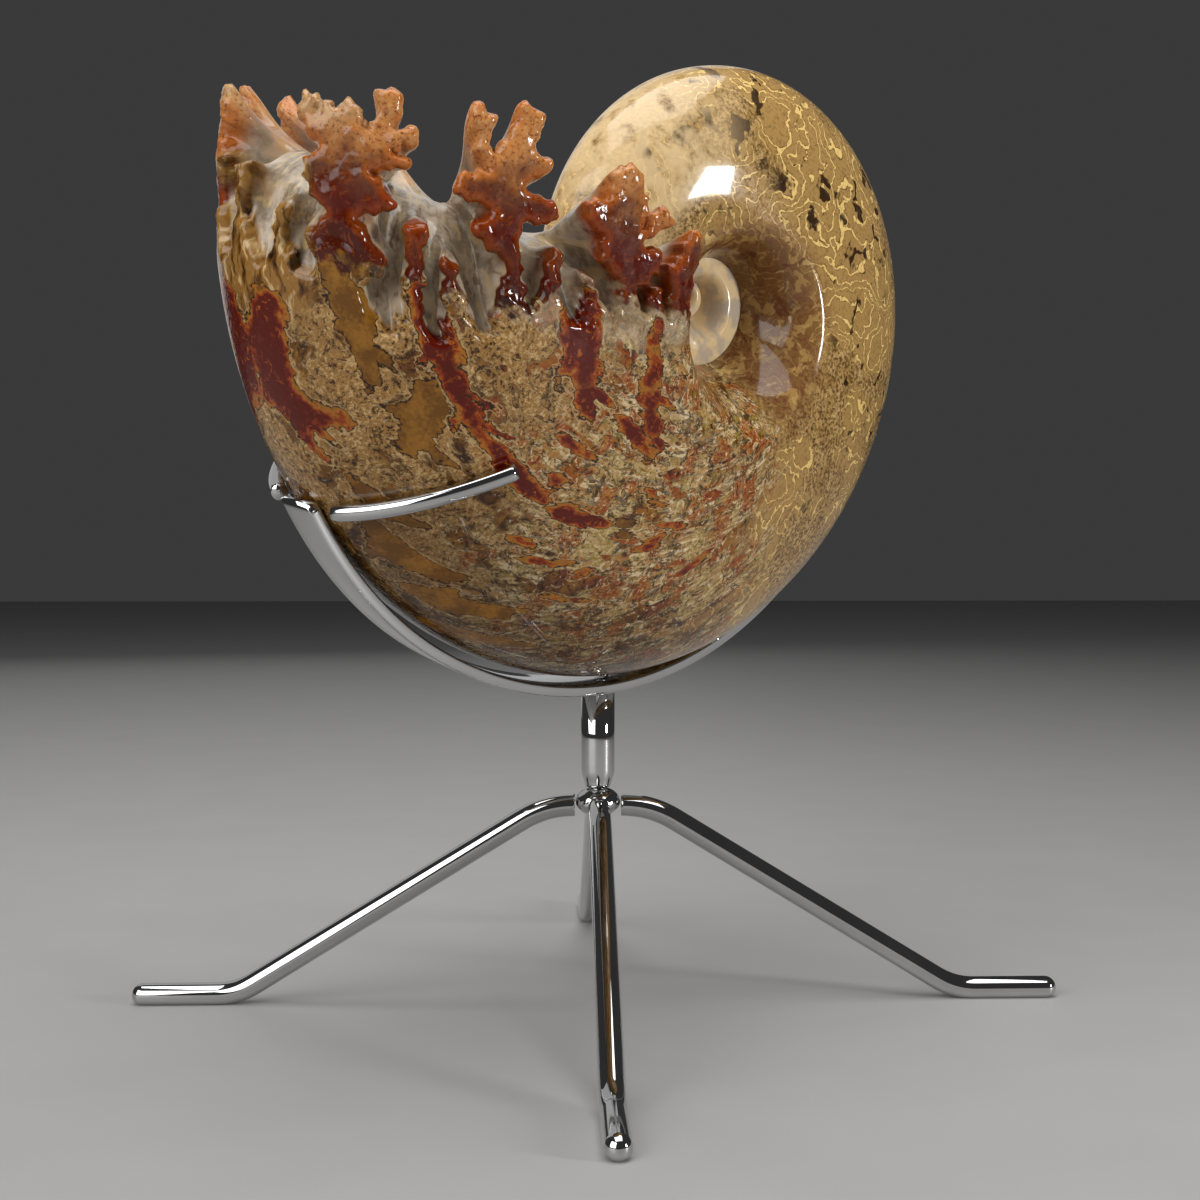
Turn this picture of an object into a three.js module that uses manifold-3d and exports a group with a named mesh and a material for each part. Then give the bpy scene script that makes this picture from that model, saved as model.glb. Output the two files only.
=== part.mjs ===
import * as THREE from 'three';
import { mergeVertices } from 'three/addons/utils/BufferGeometryUtils.js';
import Module from 'manifold-3d';

// A polished fossil shell in a chromed steel cradle on four bent rod legs.
// Millimetres, z up. The floor is z = 0 and the axis of the post is the z axis.

// Where the coil sits and how it is turned
const COIL_YAW = 39.8;
const COIL_LEAN = 12.5;
const COIL_SHIFT_ALONG = 13.6;
const COIL_SHIFT_FORWARD = 37.2;
const COIL_CENTRE_HEIGHT = 300.7;

// Spiral of the shell: angles in degrees, growing backwards from the crown
const CROWN_ANGLE = -190;
const CROWN_RADIUS = 216.5;
const WHORL_GROWTH = 2.938;
const CROWN_END = 15;
const OUTER_WHORL_END = 138;
const INNER_WHORL_START = 132;
const INNER_WHORL_END = 482;
const CORE_START = 476;
const CORE_END = 800;

// Whorl section, as fractions of the radius of the whorl
const HALF_THICKNESS = 0.36;
const SHOULDER = 0.35;
const SEAM = 0.17;
const SECTION_POWER = 2.2;
const INNER_CLOSE = 0.09;
const INNER_CLOSE_WIDTH = 0.6;

// Last chamber wall: the ridge in its middle, and how its folds fade towards that ridge
const FLANK_LENGTH = 245.6;
const RIDGE_TOP = 0.88;
const RIDGE_END = 0.14;
const RIDGE_ADVANCE = -3;
const FOLD_POWER = 1.7;
const FOLD_CALM = 0.8;
const FOLD_LEVELS = [-0.2, 0, 0.34];
const TURNING_FRACTION = 0.3;
const CUT_OVERRUN = 3;

// Steel stock
const POST_DIAMETER = 14.3;
const LEG_DIAMETER = 9.5;
const ARM_DIAMETER = 6.35;
const BAND_WIDTH = 19;
const BAND_THICKNESS = 4.8;
const GAP = 0.3;
const BAND_TOUCH = 0.4;

// Legs, hub and screw
const LEG_REACH = 198.3;
const LEG_START = 9.9;
const LEG_TOP_HEIGHT = 83.8;
const LEG_TOP_BEND = 22.7;
const LEG_FOOT_BEND = 153.7;
const FOOT_CENTRE_HEIGHT = 4.1;
const HUB_RADIUS = 9.6;
const HUB_BOTTOM = 79;
const HUB_TOP = 91.8;
const SCREW_RADIUS = 3;
const SCREW_HEIGHT = 1.8;
const SCREW_SEAT = 0.8;

// Cradle band and the bars welded to it
const BAND_START_ANGLE = -152;
const BAND_END_ANGLE = -24;
const BAND_CLEARANCE = 3.2;
const BAND_RISE_FROM_START = 26;
const BAND_RISE_FROM_END = 50;
const BAND_CLOSE_BEFORE_END = 28;
const ARM_ANGLE = -151.4;
const ARM_START = 0.985;
const ARM_END = 0.735;
const END_ROD_ANGLE = -22.3;
const END_ROD_LENGTH = 27;

// Reach of the pieces that only cut
const POST_BLANK_TOP = 165;
const POST_CUT_HALF_ANGLE = 9;
const POST_CUT_DEPTH = 60;
const POST_CUT_WIDTH = 45;
const GROUND_WIDTH = 40;
const GROUND_DEPTH = 20;
const TINY = 1e-6;

const wasm = await Module();
wasm.setup();

const { clamp, degToRad, lerp, radToDeg } = THREE.MathUtils;

function stoneMaterial() {
  return new THREE.MeshStandardMaterial({ color: 0x9a7440, roughness: 0.2, metalness: 0 });
}

function chromeMaterial() {
  return new THREE.MeshStandardMaterial({ color: 0xd8dadd, roughness: 0.08, metalness: 1 });
}

// A closed geometry as a solid that can be joined and cut
function solidOf(geometry) {
  const plain = geometry.index ? geometry.toNonIndexed() : geometry.clone();
  plain.deleteAttribute('normal');
  plain.deleteAttribute('uv');
  const merged = mergeVertices(plain, 1e-4);
  return new wasm.Manifold(new wasm.Mesh({
    numProp: 3,
    vertProperties: merged.getAttribute('position').array,
    triVerts: new Uint32Array(merged.index.array),
  }));
}

// The largest connected body of a solid, so that a cut leaves no crumbs beside it
function geometryOf(solid) {
  const { numProp, vertProperties, triVerts } = solid.getMesh();
  const count = vertProperties.length / numProp;
  const parent = Array.from({ length: count }, (_, i) => i);
  const rootOf = (i) => {
    let root = i;
    while (parent[root] !== root) {
      parent[root] = parent[parent[root]];
      root = parent[root];
    }
    return root;
  };
  for (let t = 0; t < triVerts.length; t += 3) {
    parent[rootOf(triVerts[t])] = rootOf(triVerts[t + 1]);
    parent[rootOf(triVerts[t + 1])] = rootOf(triVerts[t + 2]);
  }
  const sizes = new Map();
  for (let t = 0; t < triVerts.length; t += 3) {
    const root = rootOf(triVerts[t]);
    sizes.set(root, (sizes.get(root) || 0) + 1);
  }
  const [biggest] = [...sizes.entries()].sort((a, b) => b[1] - a[1])[0];
  const positions = [];
  for (let i = 0; i < count; i += 1) {
    positions.push(...vertProperties.subarray(i * numProp, i * numProp + 3));
  }
  const triangles = [];
  for (let t = 0; t < triVerts.length; t += 3) {
    if (rootOf(triVerts[t]) === biggest) {
      triangles.push(triVerts[t], triVerts[t + 1], triVerts[t + 2]);
    }
  }
  const geometry = new THREE.BufferGeometry();
  geometry.setAttribute('position', new THREE.Float32BufferAttribute(positions, 3));
  geometry.setIndex(triangles);
  geometry.computeVertexNormals();
  return geometry;
}

function named(name, geometry, material) {
  const mesh = new THREE.Mesh(geometry, material);
  mesh.name = name;
  return mesh;
}

// A curve through stations that keeps each station as one step of the sweep
class StationCurve extends THREE.Curve {
  constructor(stations) {
    super();
    this.stations = stations;
  }

  getPoint(t, target = new THREE.Vector3()) {
    const place = clamp(t, 0, 1) * (this.stations.length - 1);
    const i = Math.min(Math.floor(place), this.stations.length - 2);
    return target.lerpVectors(this.stations[i], this.stations[i + 1], place - i);
  }

  getUtoTmapping(u) {
    return u;
  }
}

// Round bar along a line of stations
function rodGeometry(stations, radius, sides) {
  const section = new THREE.Shape();
  for (let k = 0; k < sides; k += 1) {
    const a = (k + 0.5) / sides * Math.PI * 2;
    const method = k === 0 ? 'moveTo' : 'lineTo';
    section[method](radius * Math.cos(a), radius * Math.sin(a));
  }
  section.closePath();
  return new THREE.ExtrudeGeometry(section, {
    steps: stations.length - 1,
    extrudePath: new StationCurve(stations),
    bevelEnabled: false,
  });
}

// Solid of revolution around z: profile points are [radius, height], from axis to axis
function turnedGeometry(profile, sides) {
  const points = profile.map(([radius, height]) => new THREE.Vector2(radius, height));
  return new THREE.LatheGeometry(points, sides).rotateX(Math.PI / 2);
}

// Radius of the spiral at an angle in degrees
function whorlRadius(angle) {
  return CROWN_RADIUS * WHORL_GROWTH ** (-(angle - CROWN_ANGLE) / 360);
}

// Point in the frame of the coil: x along the floor, y up the coil, z across it
function coilPoint(angle, radius, across) {
  const a = degToRad(angle);
  return new THREE.Vector3(radius * Math.cos(a), radius * Math.sin(a), across);
}

// Half of the whorl section from keel to seam: [fraction of radius, half thickness]
function halfSection(outerSteps, wallSteps) {
  const seamWidth = HALF_THICKNESS / WHORL_GROWTH;
  const points = [];
  for (let i = 0; i <= outerSteps; i += 1) {
    const turn = (i / outerSteps) * Math.PI / 2;
    const out = Math.max(0, Math.cos(turn)) ** (2 / SECTION_POWER);
    const side = Math.sin(turn) ** (2 / SECTION_POWER);
    points.push([SHOULDER + (1 - SHOULDER) * out, HALF_THICKNESS * side]);
  }
  for (let i = 1; i <= wallSteps; i += 1) {
    const down = i / wallSteps;
    points.push([
      lerp(SHOULDER, SEAM, down),
      seamWidth + (HALF_THICKNESS - seamWidth) * (1 - down ** 2),
    ]);
  }
  return points;
}

function runningLength(points) {
  const lengths = [0];
  for (let i = 1; i < points.length; i += 1) {
    const step = Math.hypot(points[i][0] - points[i - 1][0], points[i][1] - points[i - 1][1]);
    lengths.push(lengths[i - 1] + step);
  }
  return lengths;
}

const fineSection = halfSection(160, 50);
const fineLengths = runningLength(fineSection);

// Point of the section at a signed distance from the keel, in millimetres at the crown
function sectionAt(distance) {
  const total = fineLengths[fineLengths.length - 1];
  const wanted = clamp(Math.abs(distance) / FLANK_LENGTH, 0, 1) * total;
  let i = 1;
  while (i < fineLengths.length - 1 && fineLengths[i] < wanted) {
    i += 1;
  }
  const t = (wanted - fineLengths[i - 1]) / (fineLengths[i] - fineLengths[i - 1]);
  return [
    lerp(fineSection[i - 1][0], fineSection[i][0], t),
    lerp(fineSection[i - 1][1], fineSection[i][1], t) * Math.sign(distance),
  ];
}

// One stretch of the coiled tube, closed at both ends
class WhorlGeometry extends THREE.BufferGeometry {
  constructor(startAngle, endAngle, steps, outerSteps, wallSteps) {
    super();
    const closeWidth = HALF_THICKNESS / WHORL_GROWTH * INNER_CLOSE_WIDTH;
    const near = [...halfSection(outerSteps, wallSteps), [INNER_CLOSE, closeWidth]];
    const far = near.slice(1).reverse().map(([r, w]) => [r, -w]);
    const section = [...near, ...far];
    const count = section.length;
    const points = [];
    const triangles = [];
    for (let i = 0; i <= steps; i += 1) {
      const angle = lerp(startAngle, endAngle, i / steps);
      const radius = whorlRadius(angle);
      points.push(...section.map(([r, w]) => coilPoint(angle, r * radius, w * radius)));
    }
    for (let r = 0; r < steps; r += 1) {
      for (let i = 0; i < count; i += 1) {
        const a = r * count + i;
        const b = r * count + (i + 1) % count;
        triangles.push(a, b + count, b, a, a + count, b + count);
      }
    }
    for (const [first, forward] of [[0, false], [steps * count, true]]) {
      const ring = points.slice(first, first + count);
      const centre = ring.reduce((sum, p) => sum.add(p), new THREE.Vector3());
      const hub = points.push(centre.divideScalar(count)) - 1;
      for (let i = 0; i < count; i += 1) {
        const a = first + i;
        const b = first + (i + 1) % count;
        triangles.push(hub, ...(forward ? [b, a] : [a, b]));
      }
    }
    this.setFromPoints(points);
    this.setIndex(triangles);
  }
}

// Points of a round leaf end: centre, radius and the arc it covers in degrees
function leaf(x, y, radius, from, to, count = 3) {
  const points = [];
  for (let i = 0; i < count; i += 1) {
    const a = degToRad(lerp(from, to, i / (count - 1)));
    points.push([x + radius * Math.cos(a), y + radius * Math.sin(a)]);
  }
  return points;
}

// Outline of the last suture on one flank: [distance from the keel, advance along the spiral].
// Saddles stand forward like leafy trees and the lobes between them run back as gullies.
function flankOutline() {
  const keelLobe = [
    ...leaf(0, -17, 4, 90, 10, 3), [3, -32], [9, -44], [15, -47], [18, -38],
    ...leaf(21, -30, 3, 150, 30), [25, -40], [31, -48], [36, -44],
  ];
  const firstSaddle = [
    ...leaf(35, -35, 4, 250, 110), [38, -25], ...leaf(33, -13, 4.5, 260, 110), [34, -4],
    ...leaf(31, 6, 6.5, 230, 60, 5), [38, 8], ...leaf(44, 6, 6, 120, 10), [50, 4],
    ...leaf(57, 14, 4.8, 190, 0, 5), [60, 8], ...leaf(65, 6, 3.4, 70, -60), [60, 0],
    ...leaf(63, -3, 3, 30, -80), [53, -8], ...leaf(59, -16, 4.6, 60, -80), [50, -24],
    ...leaf(57, -36, 4.4, 70, -70), [51, -48], [54, -56],
  ];
  const firstLobe = [
    [60, -60], [66, -54], [68, -38], ...leaf(71, -23, 3.4, 170, 10), [74, -38], [73, -52],
    [77, -59], [81, -50], [81, -38], ...leaf(84, -31, 3, 160, 20), [89, -42], [92, -52],
    [98, -50], [101, -36],
  ];
  const secondSaddle = [
    [104, -24], ...leaf(96, -15, 4.6, 280, 120), [98, -8], ...leaf(87, -3, 4.6, 260, 70),
    [94, 4], ...leaf(87, 18, 4.6, 220, 20, 5), [94, 9], ...leaf(103, 23, 5, 190, 10, 5),
    [108, 16], ...leaf(113, 12, 3.6, 80, -60), [107, 2], ...leaf(119, -2, 3.6, 90, -90),
    [109, -10], [110, -24],
  ];
  const secondLobe = [
    [113, -35], [118, -30], ...leaf(123, -17, 3.4, 170, 10), [126, -30], [131, -36],
    [135, -29], ...leaf(138, -20, 3, 150, 30), [142, -27], [147, -28],
  ];
  const thirdSaddle = [
    [152, -18], ...leaf(144, -8, 4.6, 270, 110), ...leaf(136, 3, 4.8, 250, 60),
    ...leaf(144, 17, 5.6, 200, 10, 5), ...leaf(153, 12, 4, 110, -10), [157, 4],
    ...leaf(164, 9, 4.4, 150, -50), [159, 0], ...leaf(166, -6, 4, 70, -80), [159, -18],
  ];
  const innerElements = [
    [165, -25], ...leaf(170, -16, 3, 160, 20), [175, -24], ...leaf(178, -6, 4, 230, 130),
    ...leaf(183, 5, 5, 170, 20), ...leaf(190, -1, 4, 60, -60), [192, -14], [198, -18],
    ...leaf(205, -5, 4.5, 170, 10), [212, -15], ...leaf(221, -5, 4, 160, 20),
    [231, -13], [240, -8], [FLANK_LENGTH, -8],
  ];
  return [
    ...keelLobe, ...firstSaddle, ...firstLobe, ...secondSaddle, ...secondLobe,
    ...thirdSaddle, ...innerElements,
  ];
}

// The same row of values with its backward steps evened out
function steadyRise(values) {
  const rising = [];
  const falling = [];
  let high = -Infinity;
  for (const v of values) {
    high = Math.max(high, v);
    rising.push(high);
  }
  let low = Infinity;
  for (let i = values.length - 1; i >= 0; i -= 1) {
    low = Math.min(low, values[i]);
    falling[i] = low;
  }
  return values.map((_, i) => (rising[i] + falling[i]) / 2 + i * 0.02);
}

function smoothed(values, reach) {
  return values.map((_, i) => {
    const from = Math.max(0, i - reach);
    const near = values.slice(from, i + reach + 1);
    return near.reduce((sum, v) => sum + v, 0) / near.length;
  });
}

// Angle of a point that stands so many millimetres forward of the crown
function forwardAngle(advance, fraction) {
  const arm = Math.max(fraction, TURNING_FRACTION) * CROWN_RADIUS;
  return CROWN_ANGLE - radToDeg(advance / arm);
}

// Everything in front of the folded chamber wall, to be cut away from the whorl
class CrownCutGeometry extends THREE.BufferGeometry {
  constructor() {
    super();
    const outline = flankOutline();
    const steady = steadyRise(outline.map(([distance]) => distance));
    const calm = smoothed(outline.map(([, advance]) => advance), 3);
    const span = steady[steady.length - 1];
    const ridge = steady.map((s) => lerp(RIDGE_TOP, RIDGE_END, clamp(s / span, 0, 1)));
    const frontAngle = CROWN_ANGLE - CROWN_END - CUT_OVERRUN;
    const columns = [
      ...outline.map((_, index) => ({ index, side: -1 })).reverse().slice(0, -1),
      ...outline.map((_, index) => ({ index, side: 1 })),
    ];
    const points = [];
    const addPoint = (angle, fraction, across) => {
      const radius = whorlRadius(angle);
      return points.push(coilPoint(angle, fraction * radius, across * radius)) - 1;
    };
    const sheet = (isFront) => {
      const ridgeRow = ridge.map((fraction) => {
        const angle = isFront ? frontAngle : forwardAngle(RIDGE_ADVANCE, fraction);
        return addPoint(angle, fraction, 0);
      });
      return columns.map(({ index, side }) => {
        const [distance, advance] = outline[index];
        const [wallFraction, wallAcross] = sectionAt((distance || TINY) * side);
        const column = FOLD_LEVELS.map((level) => {
          const fraction = lerp(wallFraction, ridge[index], level);
          const across = lerp(wallAcross, 0, level);
          const fade = level <= 0 ? 0 : 1 - (1 - level) ** FOLD_POWER;
          const wall = level <= 0 ? advance : lerp(advance, calm[index], FOLD_CALM);
          const local = lerp(wall, RIDGE_ADVANCE, fade);
          return addPoint(isFront ? frontAngle : forwardAngle(local, fraction), fraction, across);
        });
        column.push(ridgeRow[index]);
        return column;
      });
    };
    const back = sheet(false);
    const front = sheet(true);
    const triangles = [];
    const quad = (a, b, c, d) => {
      for (const [p, q, r] of [[a, b, c], [a, c, d]]) {
        if (p !== q && q !== r && p !== r) {
          triangles.push(p, q, r);
        }
      }
    };
    const rows = FOLD_LEVELS.length;
    for (let c = 0; c < columns.length - 1; c += 1) {
      for (let r = 0; r < rows; r += 1) {
        quad(back[c][r], back[c][r + 1], back[c + 1][r + 1], back[c + 1][r]);
        quad(front[c][r], front[c + 1][r], front[c + 1][r + 1], front[c][r + 1]);
      }
      quad(back[c][0], back[c + 1][0], front[c + 1][0], front[c][0]);
    }
    const end = columns.length - 1;
    for (let r = 0; r < rows; r += 1) {
      quad(back[0][r], front[0][r], front[0][r + 1], back[0][r + 1]);
      quad(back[end][r], back[end][r + 1], front[end][r + 1], front[end][r]);
    }
    this.setFromPoints(points);
    this.setIndex(triangles);
  }
}

// Outer whorl cut at the crown, joined to the whorls inside it
function fossilGeometry() {
  const outer = solidOf(new WhorlGeometry(CROWN_ANGLE - CROWN_END, OUTER_WHORL_END, 44, 8, 4));
  const inner = solidOf(new WhorlGeometry(INNER_WHORL_START, INNER_WHORL_END, 20, 7, 2));
  const core = solidOf(new WhorlGeometry(CORE_START, CORE_END, 10, 4, 1));
  const crownCut = solidOf(new CrownCutGeometry());
  return geometryOf(outer.subtract(crownCut).add(inner).add(core));
}

// Gap between the keel and the inner face of the band: it touches at both ends
function bandGap(angle) {
  const closeAngle = BAND_END_ANGLE - BAND_CLOSE_BEFORE_END;
  const fromStart = clamp((angle - BAND_START_ANGLE) / BAND_RISE_FROM_START, 0, 1);
  const fromEnd = clamp((closeAngle - angle) / BAND_RISE_FROM_END, 0, 1);
  const rise = Math.sin(fromStart * Math.PI / 2) * Math.sin(fromEnd * Math.PI / 2);
  return BAND_TOUCH + BAND_CLEARANCE * rise;
}

// Flat strip between two distances from the keel, drawn in the plane of the coil
function stripGeometry(startAngle, endAngle, steps, low, high, width) {
  const edge = (offset) => {
    const points = [];
    for (let i = 0; i <= steps; i += 1) {
      const angle = lerp(startAngle, endAngle, i / steps);
      const p = coilPoint(angle, whorlRadius(angle) + bandGap(angle) + offset, 0);
      points.push(new THREE.Vector2(p.x, p.y));
    }
    return points;
  };
  const strip = new THREE.Shape([...edge(high), ...edge(low).reverse()]);
  return new THREE.ExtrudeGeometry(strip, { depth: width, bevelEnabled: false })
    .translate(0, 0, -width / 2);
}

function bandGeometry() {
  return stripGeometry(BAND_START_ANGLE, BAND_END_ANGLE, 30, 0, BAND_THICKNESS, BAND_WIDTH);
}

// Round arm that leaves the edge of the band and hugs a flank: side is 1 near, -1 far
function armGeometry(side) {
  const steps = 9;
  const stand = ARM_DIAMETER / 2 + GAP;
  const radius = whorlRadius(ARM_ANGLE);
  const held = fineSection.filter(([r]) => r <= ARM_START && r >= ARM_END);
  const lengths = runningLength(held);
  const stations = [];
  for (let i = 0; i <= steps; i += 1) {
    const wanted = i / steps * lengths[lengths.length - 1];
    const k = clamp(lengths.findIndex((length) => length >= wanted), 1, held.length - 1);
    const [r, w] = held[k];
    const run = [r - held[k - 1][0], w - held[k - 1][1]];
    const size = Math.hypot(...run);
    stations.push(coilPoint(
      ARM_ANGLE,
      r * radius + run[1] / size * stand,
      (w * radius - run[0] / size * stand) * side,
    ));
  }
  return rodGeometry(stations, ARM_DIAMETER / 2, 12);
}

function endRodGeometry() {
  const radius = ARM_DIAMETER / 2;
  const half = END_ROD_LENGTH / 2;
  const profile = [
    [0, -half], [radius * 0.5, -half], [radius * 0.9, -half + 0.9], [radius, -half + 2.2],
    [radius, half - 2.2], [radius * 0.9, half - 0.9], [radius * 0.5, half], [0, half],
  ];
  return turnedGeometry(profile, 12);
}

// Domed screw head, drawn with its seat at z = 0
function screwGeometry() {
  return turnedGeometry([
    [0, 0], [SCREW_RADIUS, 0], [SCREW_RADIUS, SCREW_HEIGHT * 0.35],
    [SCREW_RADIUS * 0.85, SCREW_HEIGHT * 0.75], [SCREW_RADIUS * 0.45, SCREW_HEIGHT],
    [0, SCREW_HEIGHT],
  ], 14);
}

// Stations around a rounded corner
function cornerStations(before, corner, after, trim, steps) {
  const from = before.clone().sub(corner).setLength(trim).add(corner);
  const to = after.clone().sub(corner).setLength(trim).add(corner);
  return new THREE.QuadraticBezierCurve3(from, corner, to).getPoints(steps);
}

// Leg drawn along +x: level at the hub, sloping to the foot bend, then flat on the floor
function legGeometry() {
  const radius = LEG_DIAMETER / 2;
  const at = (reach, height) => new THREE.Vector3(reach, 0, height);
  const start = at(LEG_START, LEG_TOP_HEIGHT);
  const topBend = at(LEG_TOP_BEND, LEG_TOP_HEIGHT);
  const footBend = at(LEG_FOOT_BEND, FOOT_CENTRE_HEIGHT);
  const toe = at(LEG_REACH - radius, FOOT_CENTRE_HEIGHT);
  const stations = [
    start,
    ...cornerStations(start, topBend, footBend, 12, 5),
    ...cornerStations(topBend, footBend, toe, 9, 3),
    toe,
  ];
  const nose = new THREE.SphereGeometry(radius, 10, 6);
  nose.rotateX(Math.PI / 2).translate(toe.x, toe.y, toe.z);
  const ground = new THREE.BoxGeometry(LEG_REACH * 2, GROUND_WIDTH, GROUND_DEPTH);
  ground.translate(LEG_REACH, 0, -GROUND_DEPTH / 2);
  const rod = solidOf(rodGeometry(stations, radius, 10));
  return geometryOf(rod.add(solidOf(nose)).subtract(solidOf(ground)));
}

function hubGeometry() {
  return turnedGeometry([
    [0, HUB_BOTTOM], [HUB_RADIUS * 0.55, HUB_BOTTOM], [HUB_RADIUS * 0.85, HUB_BOTTOM + 1],
    [HUB_RADIUS, HUB_BOTTOM + 3.2], [HUB_RADIUS, HUB_TOP - 3.8],
    [HUB_RADIUS * 0.9, HUB_TOP - 1.4], [HUB_RADIUS * 0.7, HUB_TOP], [0, HUB_TOP],
  ], 20);
}

// Angle of the band where it crosses the axis of the post
function postAngle(coil) {
  const foot = coil.worldToLocal(new THREE.Vector3(0, 0, 0));
  const head = coil.worldToLocal(new THREE.Vector3(0, 0, 1));
  const height = -foot.z / (head.z - foot.z);
  const crossing = coil.worldToLocal(new THREE.Vector3(0, 0, height));
  return radToDeg(Math.atan2(crossing.y, crossing.x));
}

// Post with a narrowed foot, its top shaped to the underside of the band
function postGeometry(coil) {
  const radius = POST_DIAMETER / 2;
  const foot = HUB_TOP + GAP;
  const column = turnedGeometry([
    [0, foot], [radius - 1.6, foot], [radius - 0.2, foot + 5], [radius, foot + 7],
    [radius, POST_BLANK_TOP], [0, POST_BLANK_TOP],
  ], 24);
  const angle = postAngle(coil);
  const above = stripGeometry(
    angle - POST_CUT_HALF_ANGLE,
    angle + POST_CUT_HALF_ANGLE,
    8,
    -POST_CUT_DEPTH,
    BAND_THICKNESS + GAP,
    POST_CUT_WIDTH,
  );
  above.applyMatrix4(coil.matrixWorld);
  return geometryOf(solidOf(column).subtract(solidOf(above)));
}

const object = new THREE.Group();
object.name = 'fossil_ammonite_on_stand';

// The coil and its cradle share one turned and leaning frame
const turned = new THREE.Group();
turned.rotation.z = degToRad(COIL_YAW);
object.add(turned);
const coil = new THREE.Group();
coil.position.set(COIL_SHIFT_ALONG, -COIL_SHIFT_FORWARD, COIL_CENTRE_HEIGHT);
coil.rotation.x = degToRad(90 + COIL_LEAN);
turned.add(coil);
object.updateMatrixWorld(true);

coil.add(named('ammonite', fossilGeometry(), stoneMaterial()));
coil.add(named('cradle_band', bandGeometry(), chromeMaterial()));
coil.add(named('arm_near', armGeometry(1), chromeMaterial()));
coil.add(named('arm_far', armGeometry(-1), chromeMaterial()));

const endRod = named('end_rod', endRodGeometry(), chromeMaterial());
const endRodRadius = whorlRadius(END_ROD_ANGLE) + GAP + ARM_DIAMETER / 2;
endRod.position.copy(coilPoint(END_ROD_ANGLE, endRodRadius, 0));
coil.add(endRod);

const screwAngle = postAngle(coil);
const screw = named('band_screw', screwGeometry(), chromeMaterial());
const seatRadius = whorlRadius(screwAngle) + bandGap(screwAngle) - SCREW_SEAT;
screw.position.copy(coilPoint(screwAngle, seatRadius, 0));
screw.quaternion.setFromUnitVectors(new THREE.Vector3(0, 0, 1), coilPoint(screwAngle, -1, 0));
coil.add(screw);

object.add(named('post', postGeometry(coil), chromeMaterial()));
object.add(named('weld_hub', hubGeometry(), chromeMaterial()));

['leg_right', 'leg_back', 'leg_left', 'leg_front'].forEach((name, i) => {
  const legPlace = new THREE.Group();
  legPlace.rotation.z = i * Math.PI / 2;
  legPlace.add(named(name, legGeometry(), chromeMaterial()));
  object.add(legPlace);
});

export default object;
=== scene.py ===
# %% [markdown]
# # A polished ammonite on its steel stand
# The object is a big fossil shell, sawn and carved where its last chamber ended, and held by a bent band
# of chromed steel. The steel and the stone come from a packed model that sits at the middle of its feet,
# so this file starts by loading it.

# %% Load the frame
from math import cos, pi, radians, sin

import bpy
import numpy as np
from mathutils import Matrix, Vector, kdtree, noise
from mathutils.geometry import delaunay_2d_cdt


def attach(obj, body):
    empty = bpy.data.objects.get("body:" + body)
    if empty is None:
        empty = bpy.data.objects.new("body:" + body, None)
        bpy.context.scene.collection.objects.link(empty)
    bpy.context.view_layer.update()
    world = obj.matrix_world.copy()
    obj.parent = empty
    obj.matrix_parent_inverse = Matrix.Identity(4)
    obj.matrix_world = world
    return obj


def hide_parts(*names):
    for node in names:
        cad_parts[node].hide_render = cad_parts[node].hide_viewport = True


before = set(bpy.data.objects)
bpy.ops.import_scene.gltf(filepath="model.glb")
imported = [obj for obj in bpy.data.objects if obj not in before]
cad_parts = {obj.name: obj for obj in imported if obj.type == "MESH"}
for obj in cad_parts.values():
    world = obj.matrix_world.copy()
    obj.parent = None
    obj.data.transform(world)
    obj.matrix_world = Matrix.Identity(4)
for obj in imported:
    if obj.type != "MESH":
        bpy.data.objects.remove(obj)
bpy.context.view_layer.update()
MM = 0.001
print("nodes:", sorted(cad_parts))

# %% [markdown]
# ## The view
# The picture was taken from a little above the hub of the legs, with a level lens. Setting the camera
# first means that every later render can be laid beside the photograph. The lens is a normal one,
# and the small shift keeps the upright post upright while the fossil sits in the frame.

# %% Camera
CAMERA_PLACE = (-24.4, -736.6, 192.4)
STAND_TURN = 1.9
LENS = 51.5
SENSOR = 36.0
HORIZON_SHIFT = -0.04
SIDE_SHIFT = 0.0017

camera_data = bpy.data.cameras.new("camera")
camera_data.lens = LENS
camera_data.sensor_width = SENSOR
camera_data.shift_y = HORIZON_SHIFT
camera_data.shift_x = SIDE_SHIFT
camera = bpy.data.objects.new("camera", camera_data)
camera.location = Vector(CAMERA_PLACE) * MM
camera.rotation_euler = (pi / 2, 0, -radians(STAND_TURN))
bpy.context.scene.collection.objects.link(camera)
bpy.context.scene.camera = camera
print("camera stands", round(camera.location.length / MM), "mm from the origin")

# %% [markdown]
# ## Where the coil sits
# The shell is planispiral: it coils in one plane. That plane is turned and leans back over the post.
# All shell shapes are worked out flat, in the coil's own frame, and one matrix puts them in place:
# x runs along the floor, y up the coil and z across it, towards the near flank.

# %% The coil's own frame
COIL_YAW = 39.8
COIL_TILT = 102.5
COIL_PLACE = (13.6, -37.2, 300.7)

coil_to_world = (
    Matrix.Rotation(radians(COIL_YAW), 4, "Z")
    @ Matrix.Translation(COIL_PLACE)
    @ Matrix.Rotation(radians(COIL_TILT), 4, "X")
)
coil_matrix = np.array(coil_to_world)


def to_world(points):
    """Points of the coil's frame in mm, as points of the room in metres."""
    points = np.asarray(points, dtype=float)
    return (points @ coil_matrix[:3, :3].T + coil_matrix[:3, 3]) * MM


# %% [markdown]
# ## The spiral and its section
# An ammonite grows as a logarithmic spiral, so one section, scaled up as it turns, makes the whole
# shell. The section here is a rounded oval that is cut in at the navel. Each place on the shell gets
# two plain numbers: the angle round the coil, and the distance from the keel measured on the skin.

# %% The spiral of the keel
CROWN_ANGLE = -190
CROWN_RADIUS = 216.5
WHORL_GROWTH = 2.938


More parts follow.
